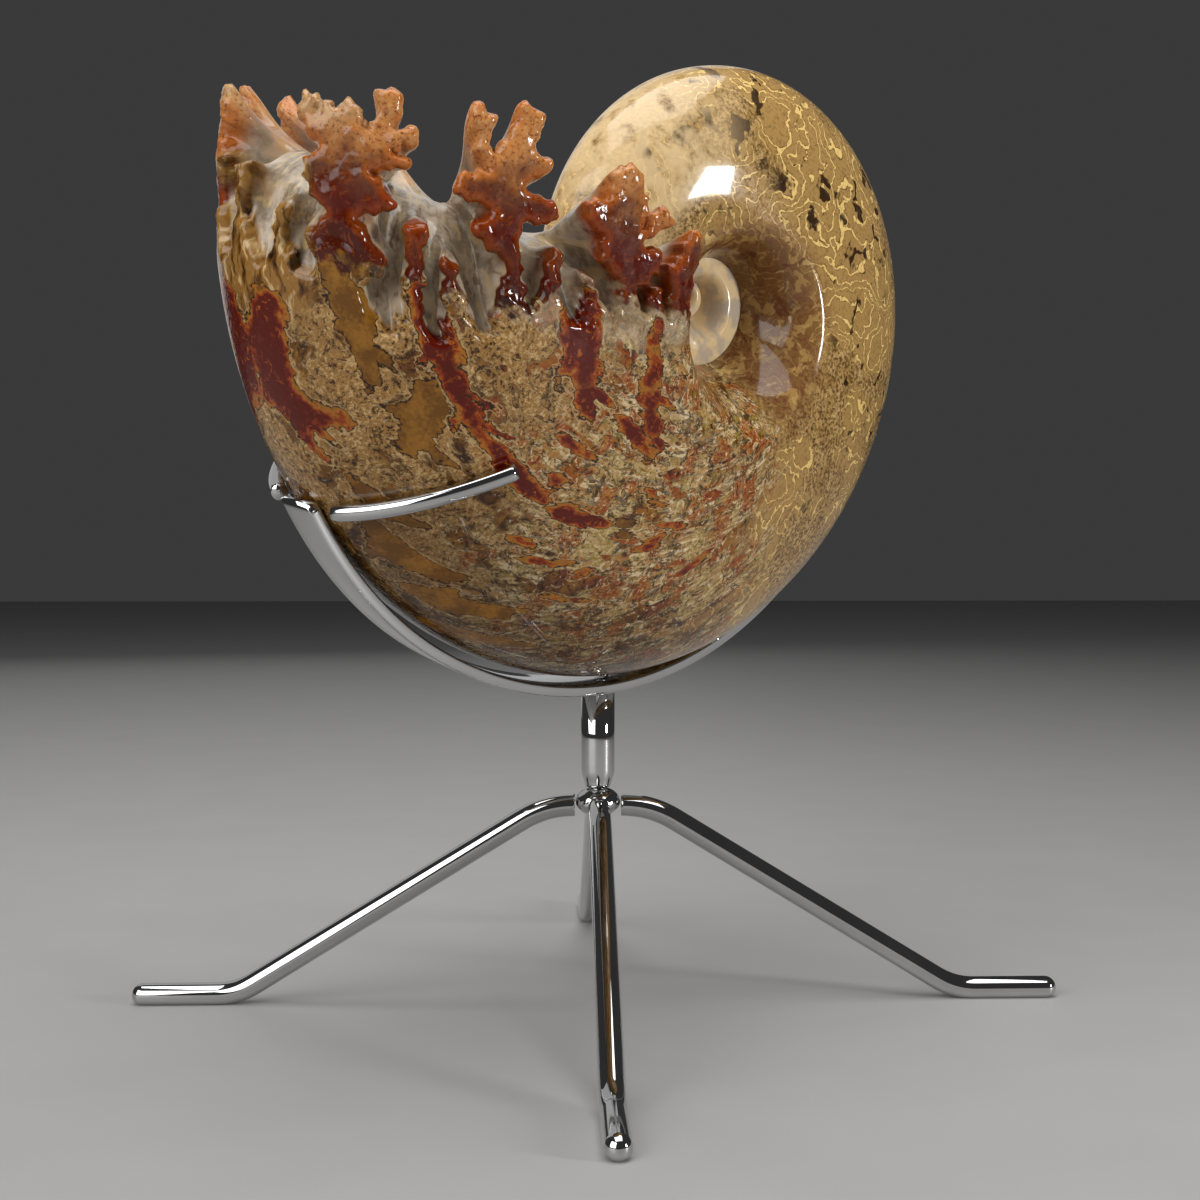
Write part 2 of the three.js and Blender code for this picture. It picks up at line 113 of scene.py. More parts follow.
def whorl_radius(angle):
    return CROWN_RADIUS * WHORL_GROWTH ** (-(angle - CROWN_ANGLE) / 360)


def coil_point(angle, radius, across):
    a = np.radians(angle)
    return np.stack([radius * np.cos(a), radius * np.sin(a), across], axis=-1)


half_turn_on = whorl_radius(CROWN_ANGLE + 180)
print("keel radius at the crown and half a turn on:", CROWN_RADIUS, round(half_turn_on, 1))

# %% Half of the whorl section, from the keel to the seam
HALF_THICKNESS = 0.36
SHOULDER = 0.35
SEAM = 0.17
SECTION_POWER = 2.2
FLANK_LENGTH = 245.6
ROUND_STEPS = 160
WALL_STEPS = 50


def fine_section():
    """Radius fractions, half width fractions and distances from the keel in mm."""
    turn = np.linspace(0, pi / 2, ROUND_STEPS + 1)
    out = np.clip(np.cos(turn), 0, 1) ** (2 / SECTION_POWER)
    side = np.sin(turn) ** (2 / SECTION_POWER)
    down = np.linspace(0, 1, WALL_STEPS + 1)[1:]
    seam_width = HALF_THICKNESS / WHORL_GROWTH
    fraction = np.append(SHOULDER + (1 - SHOULDER) * out, SHOULDER + (SEAM - SHOULDER) * down)
    wall_width = seam_width + (HALF_THICKNESS - seam_width) * (1 - down ** 2)
    width = np.append(HALF_THICKNESS * side, wall_width)
    steps = np.hypot(np.diff(fraction), np.diff(width))
    run = np.append(0, np.cumsum(steps))
    return fraction, width, run / run[-1] * FLANK_LENGTH


section_fraction, section_width, section_run = fine_section()
print("whorl section:", len(section_run), "points over", FLANK_LENGTH, "mm of skin")

# %% From a distance and an advance to a place on the skin
TURNING_FRACTION = 0.3


def section_at(distance):
    """Radius fraction and signed width fraction at a signed distance from the keel."""
    away = np.abs(distance)
    fraction = np.interp(away, section_run, section_fraction)
    width = np.interp(away, section_run, section_width)
    return fraction, width * np.sign(distance)


def section_outward(distance):
    """Unit direction out of the skin, as parts along the radius and across."""
    f0, w0 = section_at(distance - 0.5)
    f1, w1 = section_at(distance + 0.5)
    df, dw = f1 - f0, w1 - w0
    size = np.hypot(df, dw)
    return dw / size, -df / size


def forward_angle(advance, fraction):
    """Angle of a place that stands so many mm forward of the crown."""
    return CROWN_ANGLE - np.degrees(advance / (np.maximum(fraction, TURNING_FRACTION) * CROWN_RADIUS))


ten_forward = CROWN_ANGLE - float(forward_angle(10, 1))
print("10 mm forward on the keel turn the coil by", round(ten_forward, 2), "degrees")

# %% [markdown]
# ## The suture line
# Where each chamber wall meets the shell it is folded into leafy saddles, which point forward, and
# lobes, which run back. The last one is carved free here and stands up like a row of small trees.
# The line is drawn once, for one flank, as round leaf ends joined by short runs: each pair is the
# distance from the keel and the advance along the spiral. The other flank mirrors it.

# %% Keel lobe, first saddle and first lobe
ARC_DETAIL = 45


def leaf(x, y, radius, start, stop):
    """A round leaf end: an arc round (x, y), from one angle to another in degrees."""
    count = max(5, int(abs(stop - start) * radius / ARC_DETAIL))
    arc = np.radians(np.linspace(start, stop, count))
    return list(zip(x + radius * np.cos(arc), y + radius * np.sin(arc)))


KEEL_LOBE = [
    *leaf(0, -17, 4, 90, 10), (3, -32), (9, -44), (15, -47), (18, -38),
    *leaf(21, -30, 3, 150, 30), (25, -40), (31, -48), (36, -44),
]
FIRST_SADDLE = [
    *leaf(35, -35, 4, 250, 110), (38, -25), *leaf(33, -13, 4.5, 260, 110), (34, -4),
    *leaf(31, 6, 6.5, 230, 60), (38, 8), *leaf(44, 6, 6, 120, 10), (50, 4),
    *leaf(57, 14, 4.8, 190, 0), (60, 8), *leaf(65, 6, 3.4, 70, -60), (60, 0),
    *leaf(63, -3, 3, 30, -80), (53, -8), *leaf(59, -16, 4.6, 60, -80), (50, -24),
    *leaf(57, -36, 4.4, 70, -70), (51, -48), (54, -56),
]
FIRST_LOBE = [
    (60, -60), (66, -54), (68, -38), *leaf(71, -23, 3.4, 170, 10), (74, -38), (73, -52),
    (77, -59), (81, -50), (81, -38), *leaf(84, -31, 3, 160, 20), (89, -42), (92, -52),
    (98, -50), (101, -36),
]
print("first tree:", len(FIRST_SADDLE), "points, up to", max(y for _, y in FIRST_SADDLE), "mm of advance")

# %% Second saddle and lobe, third saddle and the small inner elements
SECOND_SADDLE = [
    (104, -24), *leaf(96, -15, 4.6, 280, 120), (98, -8), *leaf(87, -3, 4.6, 260, 70),
    (94, 4), *leaf(87, 18, 4.6, 220, 20), (94, 9), *leaf(103, 23, 5, 190, 10),
    (108, 16), *leaf(113, 12, 3.6, 80, -60), (107, 2), *leaf(119, -2, 3.6, 90, -90),
    (109, -10), (110, -24),
]
SECOND_LOBE = [
    (113, -35), (118, -30), *leaf(123, -17, 3.4, 170, 10), (126, -30), (131, -36),
    (135, -29), *leaf(138, -20, 3, 150, 30), (142, -27), (147, -28),
]
THIRD_SADDLE = [
    (152, -18), *leaf(144, -8, 4.6, 270, 110), *leaf(136, 3, 4.8, 250, 60),
    *leaf(144, 17, 5.6, 200, 10), *leaf(153, 12, 4, 110, -10), (157, 4),
    *leaf(164, 9, 4.4, 150, -50), (159, 0), *leaf(166, -6, 4, 70, -80), (159, -18),
]
INNER_ELEMENTS = [
    (165, -25), *leaf(170, -16, 3, 160, 20), (175, -24), *leaf(178, -6, 4, 230, 130),
    *leaf(183, 5, 5, 170, 20), *leaf(190, -1, 4, 60, -60), (192, -14), (198, -18),
    *leaf(205, -5, 4.5, 170, 10), (212, -15), *leaf(221, -5, 4, 160, 20),
    (231, -13), (240, -8), (FLANK_LENGTH, -8),
]
print("second and third tree:", len(SECOND_SADDLE), "and", len(THIRD_SADDLE), "points")

# %% [markdown]
# ## Frills on the suture
# On the stone every leaf is cut again into small lobes. Drawing them all by hand would take hundreds of
# points, so the drawn line is rounded first and then pushed in and out along its own normal by noise,
# once for lobes and once for fine frills. At the end its points are spaced evenly.

# %% Tools for a row of points
DRAWN_STEP = 0.3
SOFTENING_REACH = 3


def resampled(points, spacing):
    points = np.asarray(points, dtype=float)
    run = np.append(0, np.cumsum(np.hypot(*np.diff(points, axis=0).T)))
    at = np.linspace(0, run[-1], int(run[-1] / spacing) + 1)
    return np.column_stack([np.interp(at, run, points[:, 0]), np.interp(at, run, points[:, 1])])


def softened(values, reach):
    """Gaussian smoothing along a row of points, with both ends held in place."""
    if reach < 0.05:
        return values.copy()
    width = int(reach * SOFTENING_REACH) + 1
    weights = np.exp(-0.5 * (np.arange(-width, width + 1) / reach) ** 2)
    weights /= weights.sum()
    result = np.empty_like(values)
    for axis in range(values.shape[1]):
        row = values[:, axis]
        padded = np.pad(row, width, mode="reflect", reflect_type="odd")
        result[:, axis] = np.convolve(padded, weights, mode="valid")
    return result


drawn_flank = (
    KEEL_LOBE + FIRST_SADDLE + FIRST_LOBE + SECOND_SADDLE + SECOND_LOBE + THIRD_SADDLE + INNER_ELEMENTS
)
flank_outline = resampled(drawn_flank, DRAWN_STEP)
both_flanks = np.vstack([flank_outline[:0:-1] * (-1, 1), flank_outline])
print("drawn line:", len(drawn_flank), "points on a flank,", len(both_flanks), "on both when spaced evenly")

# %% Round the outline and frill it
CORNER_SOFTENING = 2.0
LOBES = {"size": 3.6, "reach": 3.4, "seed": 4.0}
FRILLS = {"size": 1.6, "reach": 0.9, "seed": 9.0}
FRILL_SOFTENING = 2.2
CALM_AT_SEAM = 6
CROWN_STEP = 1.15


def crinkled(line, size, reach, seed):
    """The line with small lobes pushed in and out along its own normal."""
    ahead = np.gradient(line, axis=0)
    ahead /= np.linalg.norm(ahead, axis=1)[:, None]
    sideways = np.column_stack([-ahead[:, 1], ahead[:, 0]])
    push = np.array([noise.noise(Vector((x / size, y / size, seed))) for x, y in line])
    hold = np.clip((FLANK_LENGTH - np.abs(line[:, 0])) / CALM_AT_SEAM, 0, 1)
    return line + sideways * (push * reach * hold)[:, None]


outline = crinkled(softened(both_flanks, CORNER_SOFTENING), **LOBES)
outline = crinkled(resampled(outline, DRAWN_STEP), **FRILLS)
outline = resampled(softened(outline, FRILL_SOFTENING), CROWN_STEP)
print("suture outline:", len(outline), "points,", round(len(outline) * CROWN_STEP), "mm long")

# %% [markdown]
# ## Where the skin ends
# The polished skin runs up to the outline and rounds over there, as the carver left it. The distance
# of each place from the outline says how far the skin has dropped, so narrow leaves come out as
# rounded knobs and broad ones keep a flat face.

# %% Distance to the outline
ROUND_OVER = 3.6


def search_tree(line):
    tree = kdtree.KDTree(len(line))
    for i, (x, y) in enumerate(line):
        tree.insert((x, y, 0), i)
    tree.balance()
    return tree


def distance_to(points, line):
    """Distance in mm from flat points to a line of close points."""
    tree = search_tree(line)
    return np.array([tree.find((x, y, 0))[2] for x, y in points])


def round_over(distance):
    """How far below the skin a place sits, from its distance to the outline."""
    d = np.clip(distance / ROUND_OVER, 0, 1)
    return ROUND_OVER * (1 - np.sqrt(1 - (1 - d) ** 2))


def skin_point(distance, angle, sunk):
    """Place on the skin of the crown whorl, sunk below it by some mm."""
    fraction, width = section_at(distance)
    along, across = section_outward(distance)
    radius = whorl_radius(angle)
    return coil_point(angle, fraction * radius - along * sunk, width * radius - across * sunk)


sinks = [round(float(round_over(d)), 2) for d in (0, 1, 2, 3)]
print("skin sinks by", sinks, "mm at 0 to 3 mm from the outline")

# %% [markdown]
# ## The skin of the crown
# Between a smooth line lower down and the frilled outline the skin is filled with triangles. A grid
# can't follow such an outline, so the points are spread close together near the outline, and
# a Delaunay step joins them up inside the closed loop.

# %% Points spread over the crown
LOW_LINE = -74.0
HIGHEST_POINT = 32
ROW_PITCH = 0.87
JITTER = 0.18
SKIN_COLUMNS = 240

column_run = np.linspace(-FLANK_LENGTH, FLANK_LENGTH, SKIN_COLUMNS + 1)


def inside_loop(points, loop):
    """True for each point that lies inside the closed loop."""
    x, y = points[:, 0], points[:, 1]
    inside = np.zeros(len(points), dtype=bool)
    for (x0, y0), (x1, y1) in zip(loop, np.roll(loop, -1, axis=0)):
        if y0 == y1:
            continue
        crosses = ((y0 > y) != (y1 > y)) & (x < (x1 - x0) * (y - y0) / (y1 - y0) + x0)
        inside ^= crosses
    return inside


def spread(spacing, rng):
    """Staggered rows of points over the crown, each moved a little."""
    rows = np.arange(LOW_LINE + spacing / 2, HIGHEST_POINT, spacing * ROW_PITCH)
    points = []
    for k, y in enumerate(rows):
        x = np.arange(-FLANK_LENGTH + 1, FLANK_LENGTH - 1, spacing) + (k % 2) * spacing / 2
        points.append(np.column_stack([x, np.full(len(x), y)]))
    points = np.vstack(points)
    return points + rng.uniform(-JITTER, JITTER, points.shape) * spacing


print("columns of skin:", SKIN_COLUMNS, "at", round(column_run[1] - column_run[0], 2), "mm")

# %% Fill the skin of the crown
COARSE = 3.0
COARSE_FROM = 5.5
FINE = 1.25
FINE_UNTIL = 5.0
OUTLINE_MARGIN = 0.75
LOW_MARGIN = 1.2
SIDE_STEP = 2.4
KEEP_INSIDE = 1
MERGE_WITHIN = 1e-5
SPREAD_SEED = 5


def fill_crown_skin():
    rng = np.random.default_rng(SPREAD_SEED)
    side_count = int((outline[-1, 1] - LOW_LINE) / SIDE_STEP)
    side = np.linspace(outline[-1, 1], LOW_LINE, side_count + 1)[1:-1]
    right = np.column_stack([np.full(len(side), FLANK_LENGTH), side])
    low = np.column_stack([column_run[::-1], np.full(len(column_run), LOW_LINE)])
    left = right[::-1] * (-1, 1)
    loop = np.vstack([outline, right, low, left])
    coarse = spread(COARSE, rng)
    fine = spread(FINE, rng)
    coarse_gap = distance_to(coarse, outline)
    fine_gap = distance_to(fine, outline)
    near = (fine_gap < FINE_UNTIL) & (fine_gap > OUTLINE_MARGIN)
    free = np.vstack([coarse[coarse_gap >= COARSE_FROM], fine[near]])
    free = free[inside_loop(free, loop) & (free[:, 1] > LOW_LINE + LOW_MARGIN)]
    points = [Vector(p) for p in np.vstack([loop, free])]
    found = delaunay_2d_cdt(points, [], [list(range(len(loop)))], KEEP_INSIDE, MERGE_WITHIN)
    return np.array([tuple(v) for v in found[0]]), [tuple(f) for f in found[2]]


crown_flat, crown_faces = fill_crown_skin()
print("crown skin:", len(crown_flat), "points,", len(crown_faces), "triangles")

# %% [markdown]
# ## The carved chamber wall
# Behind every saddle and lobe the real wall is folded, and the folds grow calmer towards its middle.
# The same happens here: the outline is drawn again at each depth, smoothed a little more each time,
# until the two flanks meet on a gentle ridge. Neighbouring rows are then joined like a skirt.

# %% Rows of the chamber wall, from the skin to the ridge
WALL_ROWS = 24
CALMING = 62.0
CALMING_POWER = 1.35
RIDGE_TOP = 0.88
RIDGE_END = 0.14
RIDGE_ADVANCE = -3.0
FADE_POWER = 1.9
ROW_POWER = 1.45


def wall_rows():
    """For each depth: flat points, depth share, and the place in the coil's frame."""
    rows = []
    for row in range(WALL_ROWS + 1):
        share = (row / WALL_ROWS) ** ROW_POWER
        flat = softened(outline, CALMING * share ** CALMING_POWER)
        away, advance = flat[:, 0], flat[:, 1]
        fade = 1 - (1 - share) ** FADE_POWER
        advance = advance * (1 - fade) + RIDGE_ADVANCE * fade
        sunk = skin_point(away, forward_angle(advance, section_at(away)[0]), ROUND_OVER)
        ridge = RIDGE_TOP + (RIDGE_END - RIDGE_TOP) * np.abs(away) / FLANK_LENGTH
        ridge_angle = forward_angle(advance, ridge)
        middle = coil_point(ridge_angle, ridge * whorl_radius(ridge_angle), np.zeros(len(away)))
        place = sunk * (1 - share) + middle * share
        depth = share * np.linalg.norm(middle - sunk, axis=1)
        rows.append((np.column_stack([away, advance]), depth, place))
    return rows


chamber_rows = wall_rows()
print("chamber wall:", WALL_ROWS, "rows of", len(outline))

# %% [markdown]
# ## One mesh for the crown
# The skin and the chamber wall share the points of the outline, so the crown is one surface. Each
# point also carries the plain numbers that the finish needs later: where it is on the shell, how deep
# it lies, and how high it stands above the calm line of the wall.

# %% Chips, and the way round of a triangle
CHIP_SIZE = (7.5, 9.0)
CHIP_DEPTH = 2.6
NICK_SIZE = 3.2
NICK_DEPTH = 1.0
TREE_FOOT = -46
TREE_FADE = 10
EDGE_FADE = 2.5


def chipped(flat, gap):
    """Shallow chips that the carver left on the trees, in mm; none at the outline itself."""
    wide, high = CHIP_SIZE
    chips = np.array([abs(noise.noise(Vector((x / wide, y / high, 2)))) for x, y in flat])
    nicks = np.array([abs(noise.noise(Vector((x / NICK_SIZE, y / NICK_SIZE, 6)))) for x, y in flat])
    on_trees = np.clip((flat[:, 1] - TREE_FOOT) / TREE_FADE, 0, 1) * np.clip(gap / EDGE_FADE, 0, 1)
    return (CHIP_DEPTH * chips + NICK_DEPTH * nicks) * on_trees


def flipped(a, b, c):
    """True if a flat triangle turns clockwise."""
    (ax, ay), (bx, by), (cx, cy) = crown_flat[a], crown_flat[b], crown_flat[c]
    return (bx - ax) * (cy - ay) - (by - ay) * (cx - ax) < 0


crown_gap_flat = distance_to(crown_flat, outline)
print("deepest chip:", round(float(chipped(crown_flat, crown_gap_flat).max()), 2), "mm")

# %% Join skin and chamber wall
def crown_mesh_parts():
    count = len(outline)
    gap = crown_gap_flat.copy()
    gap[:count] = 0
    angle = forward_angle(crown_flat[:, 1], section_at(crown_flat[:, 0])[0])
    skin = skin_point(crown_flat[:, 0], angle, round_over(gap) + chipped(crown_flat, gap))
    points = [skin]
    flats = [crown_flat]
    depths = [np.zeros(len(crown_flat))]
    gaps = [gap]
    faces = [(a, c, b) if flipped(a, b, c) else (a, b, c) for a, b, c in crown_faces]
    start = list(range(count))
    total = len(crown_flat)
    for flat, depth, place in chamber_rows[1:]:
        points.append(place)
        flats.append(flat)
        depths.append(depth)
        gaps.append(np.zeros(count))
        row = list(range(total, total + count))
        total += count
        for i in range(count - 1):
            faces.append((start[i], start[i + 1], row[i + 1], row[i]))
        start = row
    return np.vstack(points), faces, np.vstack(flats), np.concatenate(depths), np.concatenate(gaps)


crown_points, crown_all_faces, crown_places, crown_depth, crown_gap = crown_mesh_parts()
print("crown:", len(crown_points), "points,", len(crown_all_faces), "faces")

# %% [markdown]
# ## The whorls behind the crown
# From the low line onwards the skin is a plain sweep of the section round the spiral. Rows follow the
# turning angle and columns the distance from the keel. The rows stand closer where the shell is wide,
# so that all the little quads come out about as long as they are wide.

# %% Outer whorl
OUTER_END = 196
OUTER_ROWS = 330
ROW_CROWDING = 1.18
DOME_SINK = 0.35
SINK_FROM = -120
SINK_OVER = 60


def sweep_rows(first_angles, last_angle, count):
    """Row angles from a slanting first row to one last angle, a little closer at the start."""
    share = np.linspace(0, 1, count + 1) ** ROW_CROWDING
    return first_angles[None, :] * (1 - share[:, None]) + last_angle * share[:, None]


def grid_faces(rows, columns):
    faces = []
    for r in range(rows):
        for c in range(columns):
            a = r * (columns + 1) + c
            faces.append((a, a + columns + 1, a + columns + 2, a + 1))
    return faces


def swept_skin(distances, angles):
    """Points of the skin for one distance per column and one angle per point."""
    fraction, width = section_at(distances)
    radius = whorl_radius(angles) - DOME_SINK * np.clip((angles - SINK_FROM) / SINK_OVER, 0, 1)
    return coil_point(angles, fraction * radius, width * radius)


low_angles = forward_angle(np.full(len(column_run), LOW_LINE), section_at(column_run)[0])
outer_angles = sweep_rows(low_angles, OUTER_END, OUTER_ROWS)
outer_points = swept_skin(column_run[None, :], outer_angles).reshape(-1, 3)
outer_faces = grid_faces(OUTER_ROWS, SKIN_COLUMNS)
print("outer whorl:", len(outer_points), "points")

# %% [markdown]
# ## The navels
# Each new whorl wraps round the last one, so of the older whorls only a spiral funnel shows on each side.
# The same sweep makes them, with only the columns near the seam, and the far side is turned over so that
# its faces look outwards too.

# %% Inner whorls, as they show in the two navels
NAVEL_START = 150
NAVEL_END = 860
NAVEL_ROWS = 260
NAVEL_COLUMNS = 34
NAVEL_TOP = 118.0


def navel_side(side):
    run = np.linspace(NAVEL_TOP, FLANK_LENGTH, NAVEL_COLUMNS + 1) * side
    angles = np.linspace(NAVEL_START, NAVEL_END, NAVEL_ROWS + 1)[:, None] + 0 * run[None, :]
    points = swept_skin(run[None, :], angles).reshape(-1, 3)
    faces = grid_faces(NAVEL_ROWS, NAVEL_COLUMNS)
    if side < 0:
        faces = [face[::-1] for face in faces]
    flat_run = np.broadcast_to(run[None, :], angles.shape).reshape(-1)
    return points, faces, flat_run, angles.reshape(-1)


navels = {side: navel_side(side) for side in (1, -1)}
print("each navel:", len(navels[1][0]), "points")

# %% [markdown]
# ## Numbers for the finish
# The colours follow the anatomy. For each point of the skin the script works out how far it is from
# the nearest older suture, and on which side. The material turns that distance into thin lines
# and leaf-shaped fields, which stay sharp however coarse the mesh is.

# %% Distance to the older sutures
CHAMBER_TURN = 19.0


def suture_numbers(distances, angles):
    """Signed distance in crown mm to the nearest older suture."""
    arm = np.maximum(section_at(distances)[0], TURNING_FRACTION) * CROWN_RADIUS
    tree = search_tree(outline)
    tangent = np.gradient(outline, axis=0)
    signed = np.empty(len(distances))
    advance = -np.radians(angles - CROWN_ANGLE) * arm
    for k, (s, h, a) in enumerate(zip(distances, advance, arm)):
        pitch = radians(CHAMBER_TURN) * a
        nearest = round(-h / pitch)
        best = None
        for number in (nearest - 1, nearest, nearest + 1):
            number = max(number, 1)
            local = h + number * pitch
            spot, i, gap = tree.find((s, local, 0))
            cross = tangent[i, 0] * (local - spot[1]) - tangent[i, 1] * (s - spot[0])
            if best is None or gap < best[0]:
                best = (gap, cross)
        signed[k] = best[0] if best[1] > 0 else -best[0]
    return signed


sample = suture_numbers(np.array([0.0, 60.0, 140.0]), np.array([-150.0, -150.0, -150.0]))
print("mm to the nearest older suture at three places:", [round(float(v), 1) for v in sample])

# %% [markdown]
# ## A stone piece
# The stone is two meshes of one natural thing: the crown, filled by triangles, and the whorls, swept as a
# grid. Both take the place of the same solid, and both carry their numbers as attributes of the mesh,
# because an attribute is cheap, follows the surface, and can be read by the material.

# %% A helper for the two stone pieces
def add_numbers(mesh, name, values):
    attribute = mesh.attributes.new(name, "FLOAT", "POINT")
    attribute.data.foreach_set("value", np.asarray(values, dtype=np.float32))


def stone_piece(name, points, faces, numbers, material):
    mesh = bpy.data.meshes.new(name)
    mesh.from_pydata(to_world(points).tolist(), [], faces)
    for label, values in numbers.items():
        add_numbers(mesh, label, values)
    mesh.polygons.foreach_set("use_smooth", [True] * len(mesh.polygons))
    mesh.materials.append(material)
    mesh.update()
    piece = bpy.data.objects.new(name, mesh)
    bpy.context.scene.collection.objects.link(piece)
    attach(piece, "root")
    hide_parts("ammonite")
    print(name + ":", len(mesh.vertices), "points,", len(mesh.polygons), "faces")


# %% [markdown]
# ## Steel
# The stand is bent from round and flat bar and chromed. Curves with a round bevel could make the rods,
# but their ends would be flat and their sections fixed. Here each bar is a ring of points carried along
# its line and closed at both ends, with enough sides for clean reflections.

# %% Stock sizes, and a helper for the steel pieces
GAP = 0.3
POST_DIAMETER = 14.3
LEG_DIAMETER = 9.5
ARM_DIAMETER = 6.35
BAND_WIDTH = 19
BAND_THICKNESS = 4.8
ROD_SIDES = 40


def steel_piece(name, points, faces, material):
    mesh = bpy.data.meshes.new(name)
    mesh.from_pydata([tuple(p) for p in np.asarray(points)], [], faces)
    mesh.polygons.foreach_set("use_smooth", [True] * len(mesh.polygons))
    mesh.materials.append(material)
    mesh.update()
    piece = bpy.data.objects.new(name, mesh)
    bpy.context.scene.collection.objects.link(piece)
    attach(piece, "root")
    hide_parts(name)
    print(name + ":", len(mesh.vertices), "points")


print("rod of the legs:", LEG_DIAMETER, "mm, rod of the arms:", ARM_DIAMETER, "mm")

# %% Rings along a line, and rings round an axis
NOSE_TURN = pi / 2 * 0.97
NOSE_STEPS = 8


def ring_faces(rings, sides):
    """Quads between closed rings of points, with a cap on both ends."""
    faces = []
    for r in range(rings - 1):
        for i in range(sides):
            a, b = r * sides + i, r * sides + (i + 1) % sides
            faces.append((a, b, b + sides, a + sides))
    last = (rings - 1) * sides
    faces.append(tuple(range(sides))[::-1])
    faces.append(tuple(range(last, last + sides)))
    return faces


def swept_rings(centres, radii, side_hint):
    """Rings of points carried along a line, with a radius for each station."""
    centres = np.asarray(centres, dtype=float)
    ahead = np.gradient(centres, axis=0)
    ahead /= np.linalg.norm(ahead, axis=1)[:, None]
    up = np.asarray(side_hint, dtype=float)
    turn = np.linspace(0, 2 * pi, ROD_SIDES, endpoint=False)
    rings = []
    for centre, way, radius in zip(centres, ahead, radii):
        across = np.cross(way, up)
        across /= np.linalg.norm(across)
        over = np.cross(across, way)
        rings.append(centre + radius * (np.cos(turn)[:, None] * across + np.sin(turn)[:, None] * over))
    return np.vstack(rings), ring_faces(len(centres), ROD_SIDES)


def turned(profile, sides):
    """A lathe shape round z from pairs of radius and height, closed at both ends."""
    heights = np.array([[0, 0, h] for _, h in profile], dtype=float)
    turn = np.linspace(0, 2 * pi, sides, endpoint=False)
    points = []
    for (radius, _), centre in zip(profile, heights):
        ring = np.column_stack([radius * np.cos(turn), radius * np.sin(turn), 0 * turn])
        points.append(ring + centre)
    return np.vstack(points), ring_faces(len(profile), sides)


def eased_end(radius, reach):
    """Stations of a round nose: how far out each one is, and its radius."""
    a = np.linspace(0, NOSE_TURN, NOSE_STEPS + 1)[1:]
    return reach * np.sin(a), radius * np.cos(a)


print("a rod's nose:", len(eased_end(ARM_DIAMETER / 2, ARM_DIAMETER / 2)[0]), "rings")

# %% [markdown]
# ## The four legs
# Each leg is one rod: a short level start in the hub, a bend, a straight slope, a second bend and a toe
# that lies on the table. One leg is shaped along x, with its two corners rounded by short arcs, and the
# others are turned copies. The toe is pressed flat underneath, where the part rests.

# %% Legs
LEG_REACH = 198.3
LEG_START = 9.9
LEG_TOP_HEIGHT = 83.8
LEG_TOP_BEND = 22.7
LEG_FOOT_BEND = 153.7
FOOT_CENTRE_HEIGHT = 4.1
TOP_BEND = {"trim": 12, "steps": 12}
FOOT_BEND = {"trim": 9, "steps": 10}


def rounded_corner(before, corner, after, trim, steps):
    """A bend that leaves the straight lines so many mm before and after their corner."""
    before, corner, after = (np.array(p, dtype=float) for p in (before, corner, after))
    start = corner + (before - corner) / np.linalg.norm(before - corner) * trim
    end = corner + (after - corner) / np.linalg.norm(after - corner) * trim
    share = np.linspace(0, 1, steps + 1)[:, None]
    return (1 - share) ** 2 * start + 2 * share * (1 - share) * corner + share ** 2 * end


def leg_shape():
    radius = LEG_DIAMETER / 2
    start = (LEG_START, 0, LEG_TOP_HEIGHT)
    top = (LEG_TOP_BEND, 0, LEG_TOP_HEIGHT)
    foot = (LEG_FOOT_BEND, 0, FOOT_CENTRE_HEIGHT)
    toe = (LEG_REACH - radius, 0, FOOT_CENTRE_HEIGHT)
    line = [start, *rounded_corner(start, top, foot, **TOP_BEND)]
    line += [*rounded_corner(top, foot, toe, **FOOT_BEND), toe]
    out, shrink = eased_end(radius, radius)
    nose = [(toe[0] + o, 0, toe[2]) for o in out]
    radii = [radius] * len(line) + list(shrink)
    points, faces = swept_rings(np.vstack([line, nose]), radii, side_hint=(0, 1, 0))
    points[:, 2] = np.maximum(points[:, 2], 0)
    return points, faces


def turned_about(points, degrees):
    """The points, turned round the upright axis of the stand."""
    a = radians(degrees)
    matrix = np.array([[cos(a), -sin(a), 0], [sin(a), cos(a), 0], [0, 0, 1]])
    return points @ matrix.T


leg_points, leg_faces = leg_shape()
leg_reach = round(float(leg_points[:, 0].max()), 1)
print("leg reaches", leg_reach, "mm and starts at", LEG_TOP_HEIGHT, "mm of height")

# %% [markdown]
# ## The cradle
# A flat bar follows the keel from the broken end to the far side of the coil, a few millimetres out, and
# touches the stone near both ends. It is worked out on the same spiral as the shell, so it fits by itself.
# Two thin rods leave its left end and lie on the flanks, a short one crosses its right end.

# %% Band
BAND_START_ANGLE = -152
BAND_END_ANGLE = -24
BAND_CLEARANCE = 3.2
BAND_TOUCH = 0.4
BAND_RISE_FROM_START = 26
BAND_RISE_FROM_END = 50
BAND_CLOSE_BEFORE_END = 28
BAND_STATIONS = 128
BAND_EDGE = 0.7
EDGE_SHARE = 0.3


def band_gap(angle):
    close = BAND_END_ANGLE - BAND_CLOSE_BEFORE_END
    from_start = np.clip((angle - BAND_START_ANGLE) / BAND_RISE_FROM_START, 0, 1)
    from_end = np.clip((close - angle) / BAND_RISE_FROM_END, 0, 1)
    return BAND_TOUCH + BAND_CLEARANCE * np.sin(from_start * pi / 2) * np.sin(from_end * pi / 2)


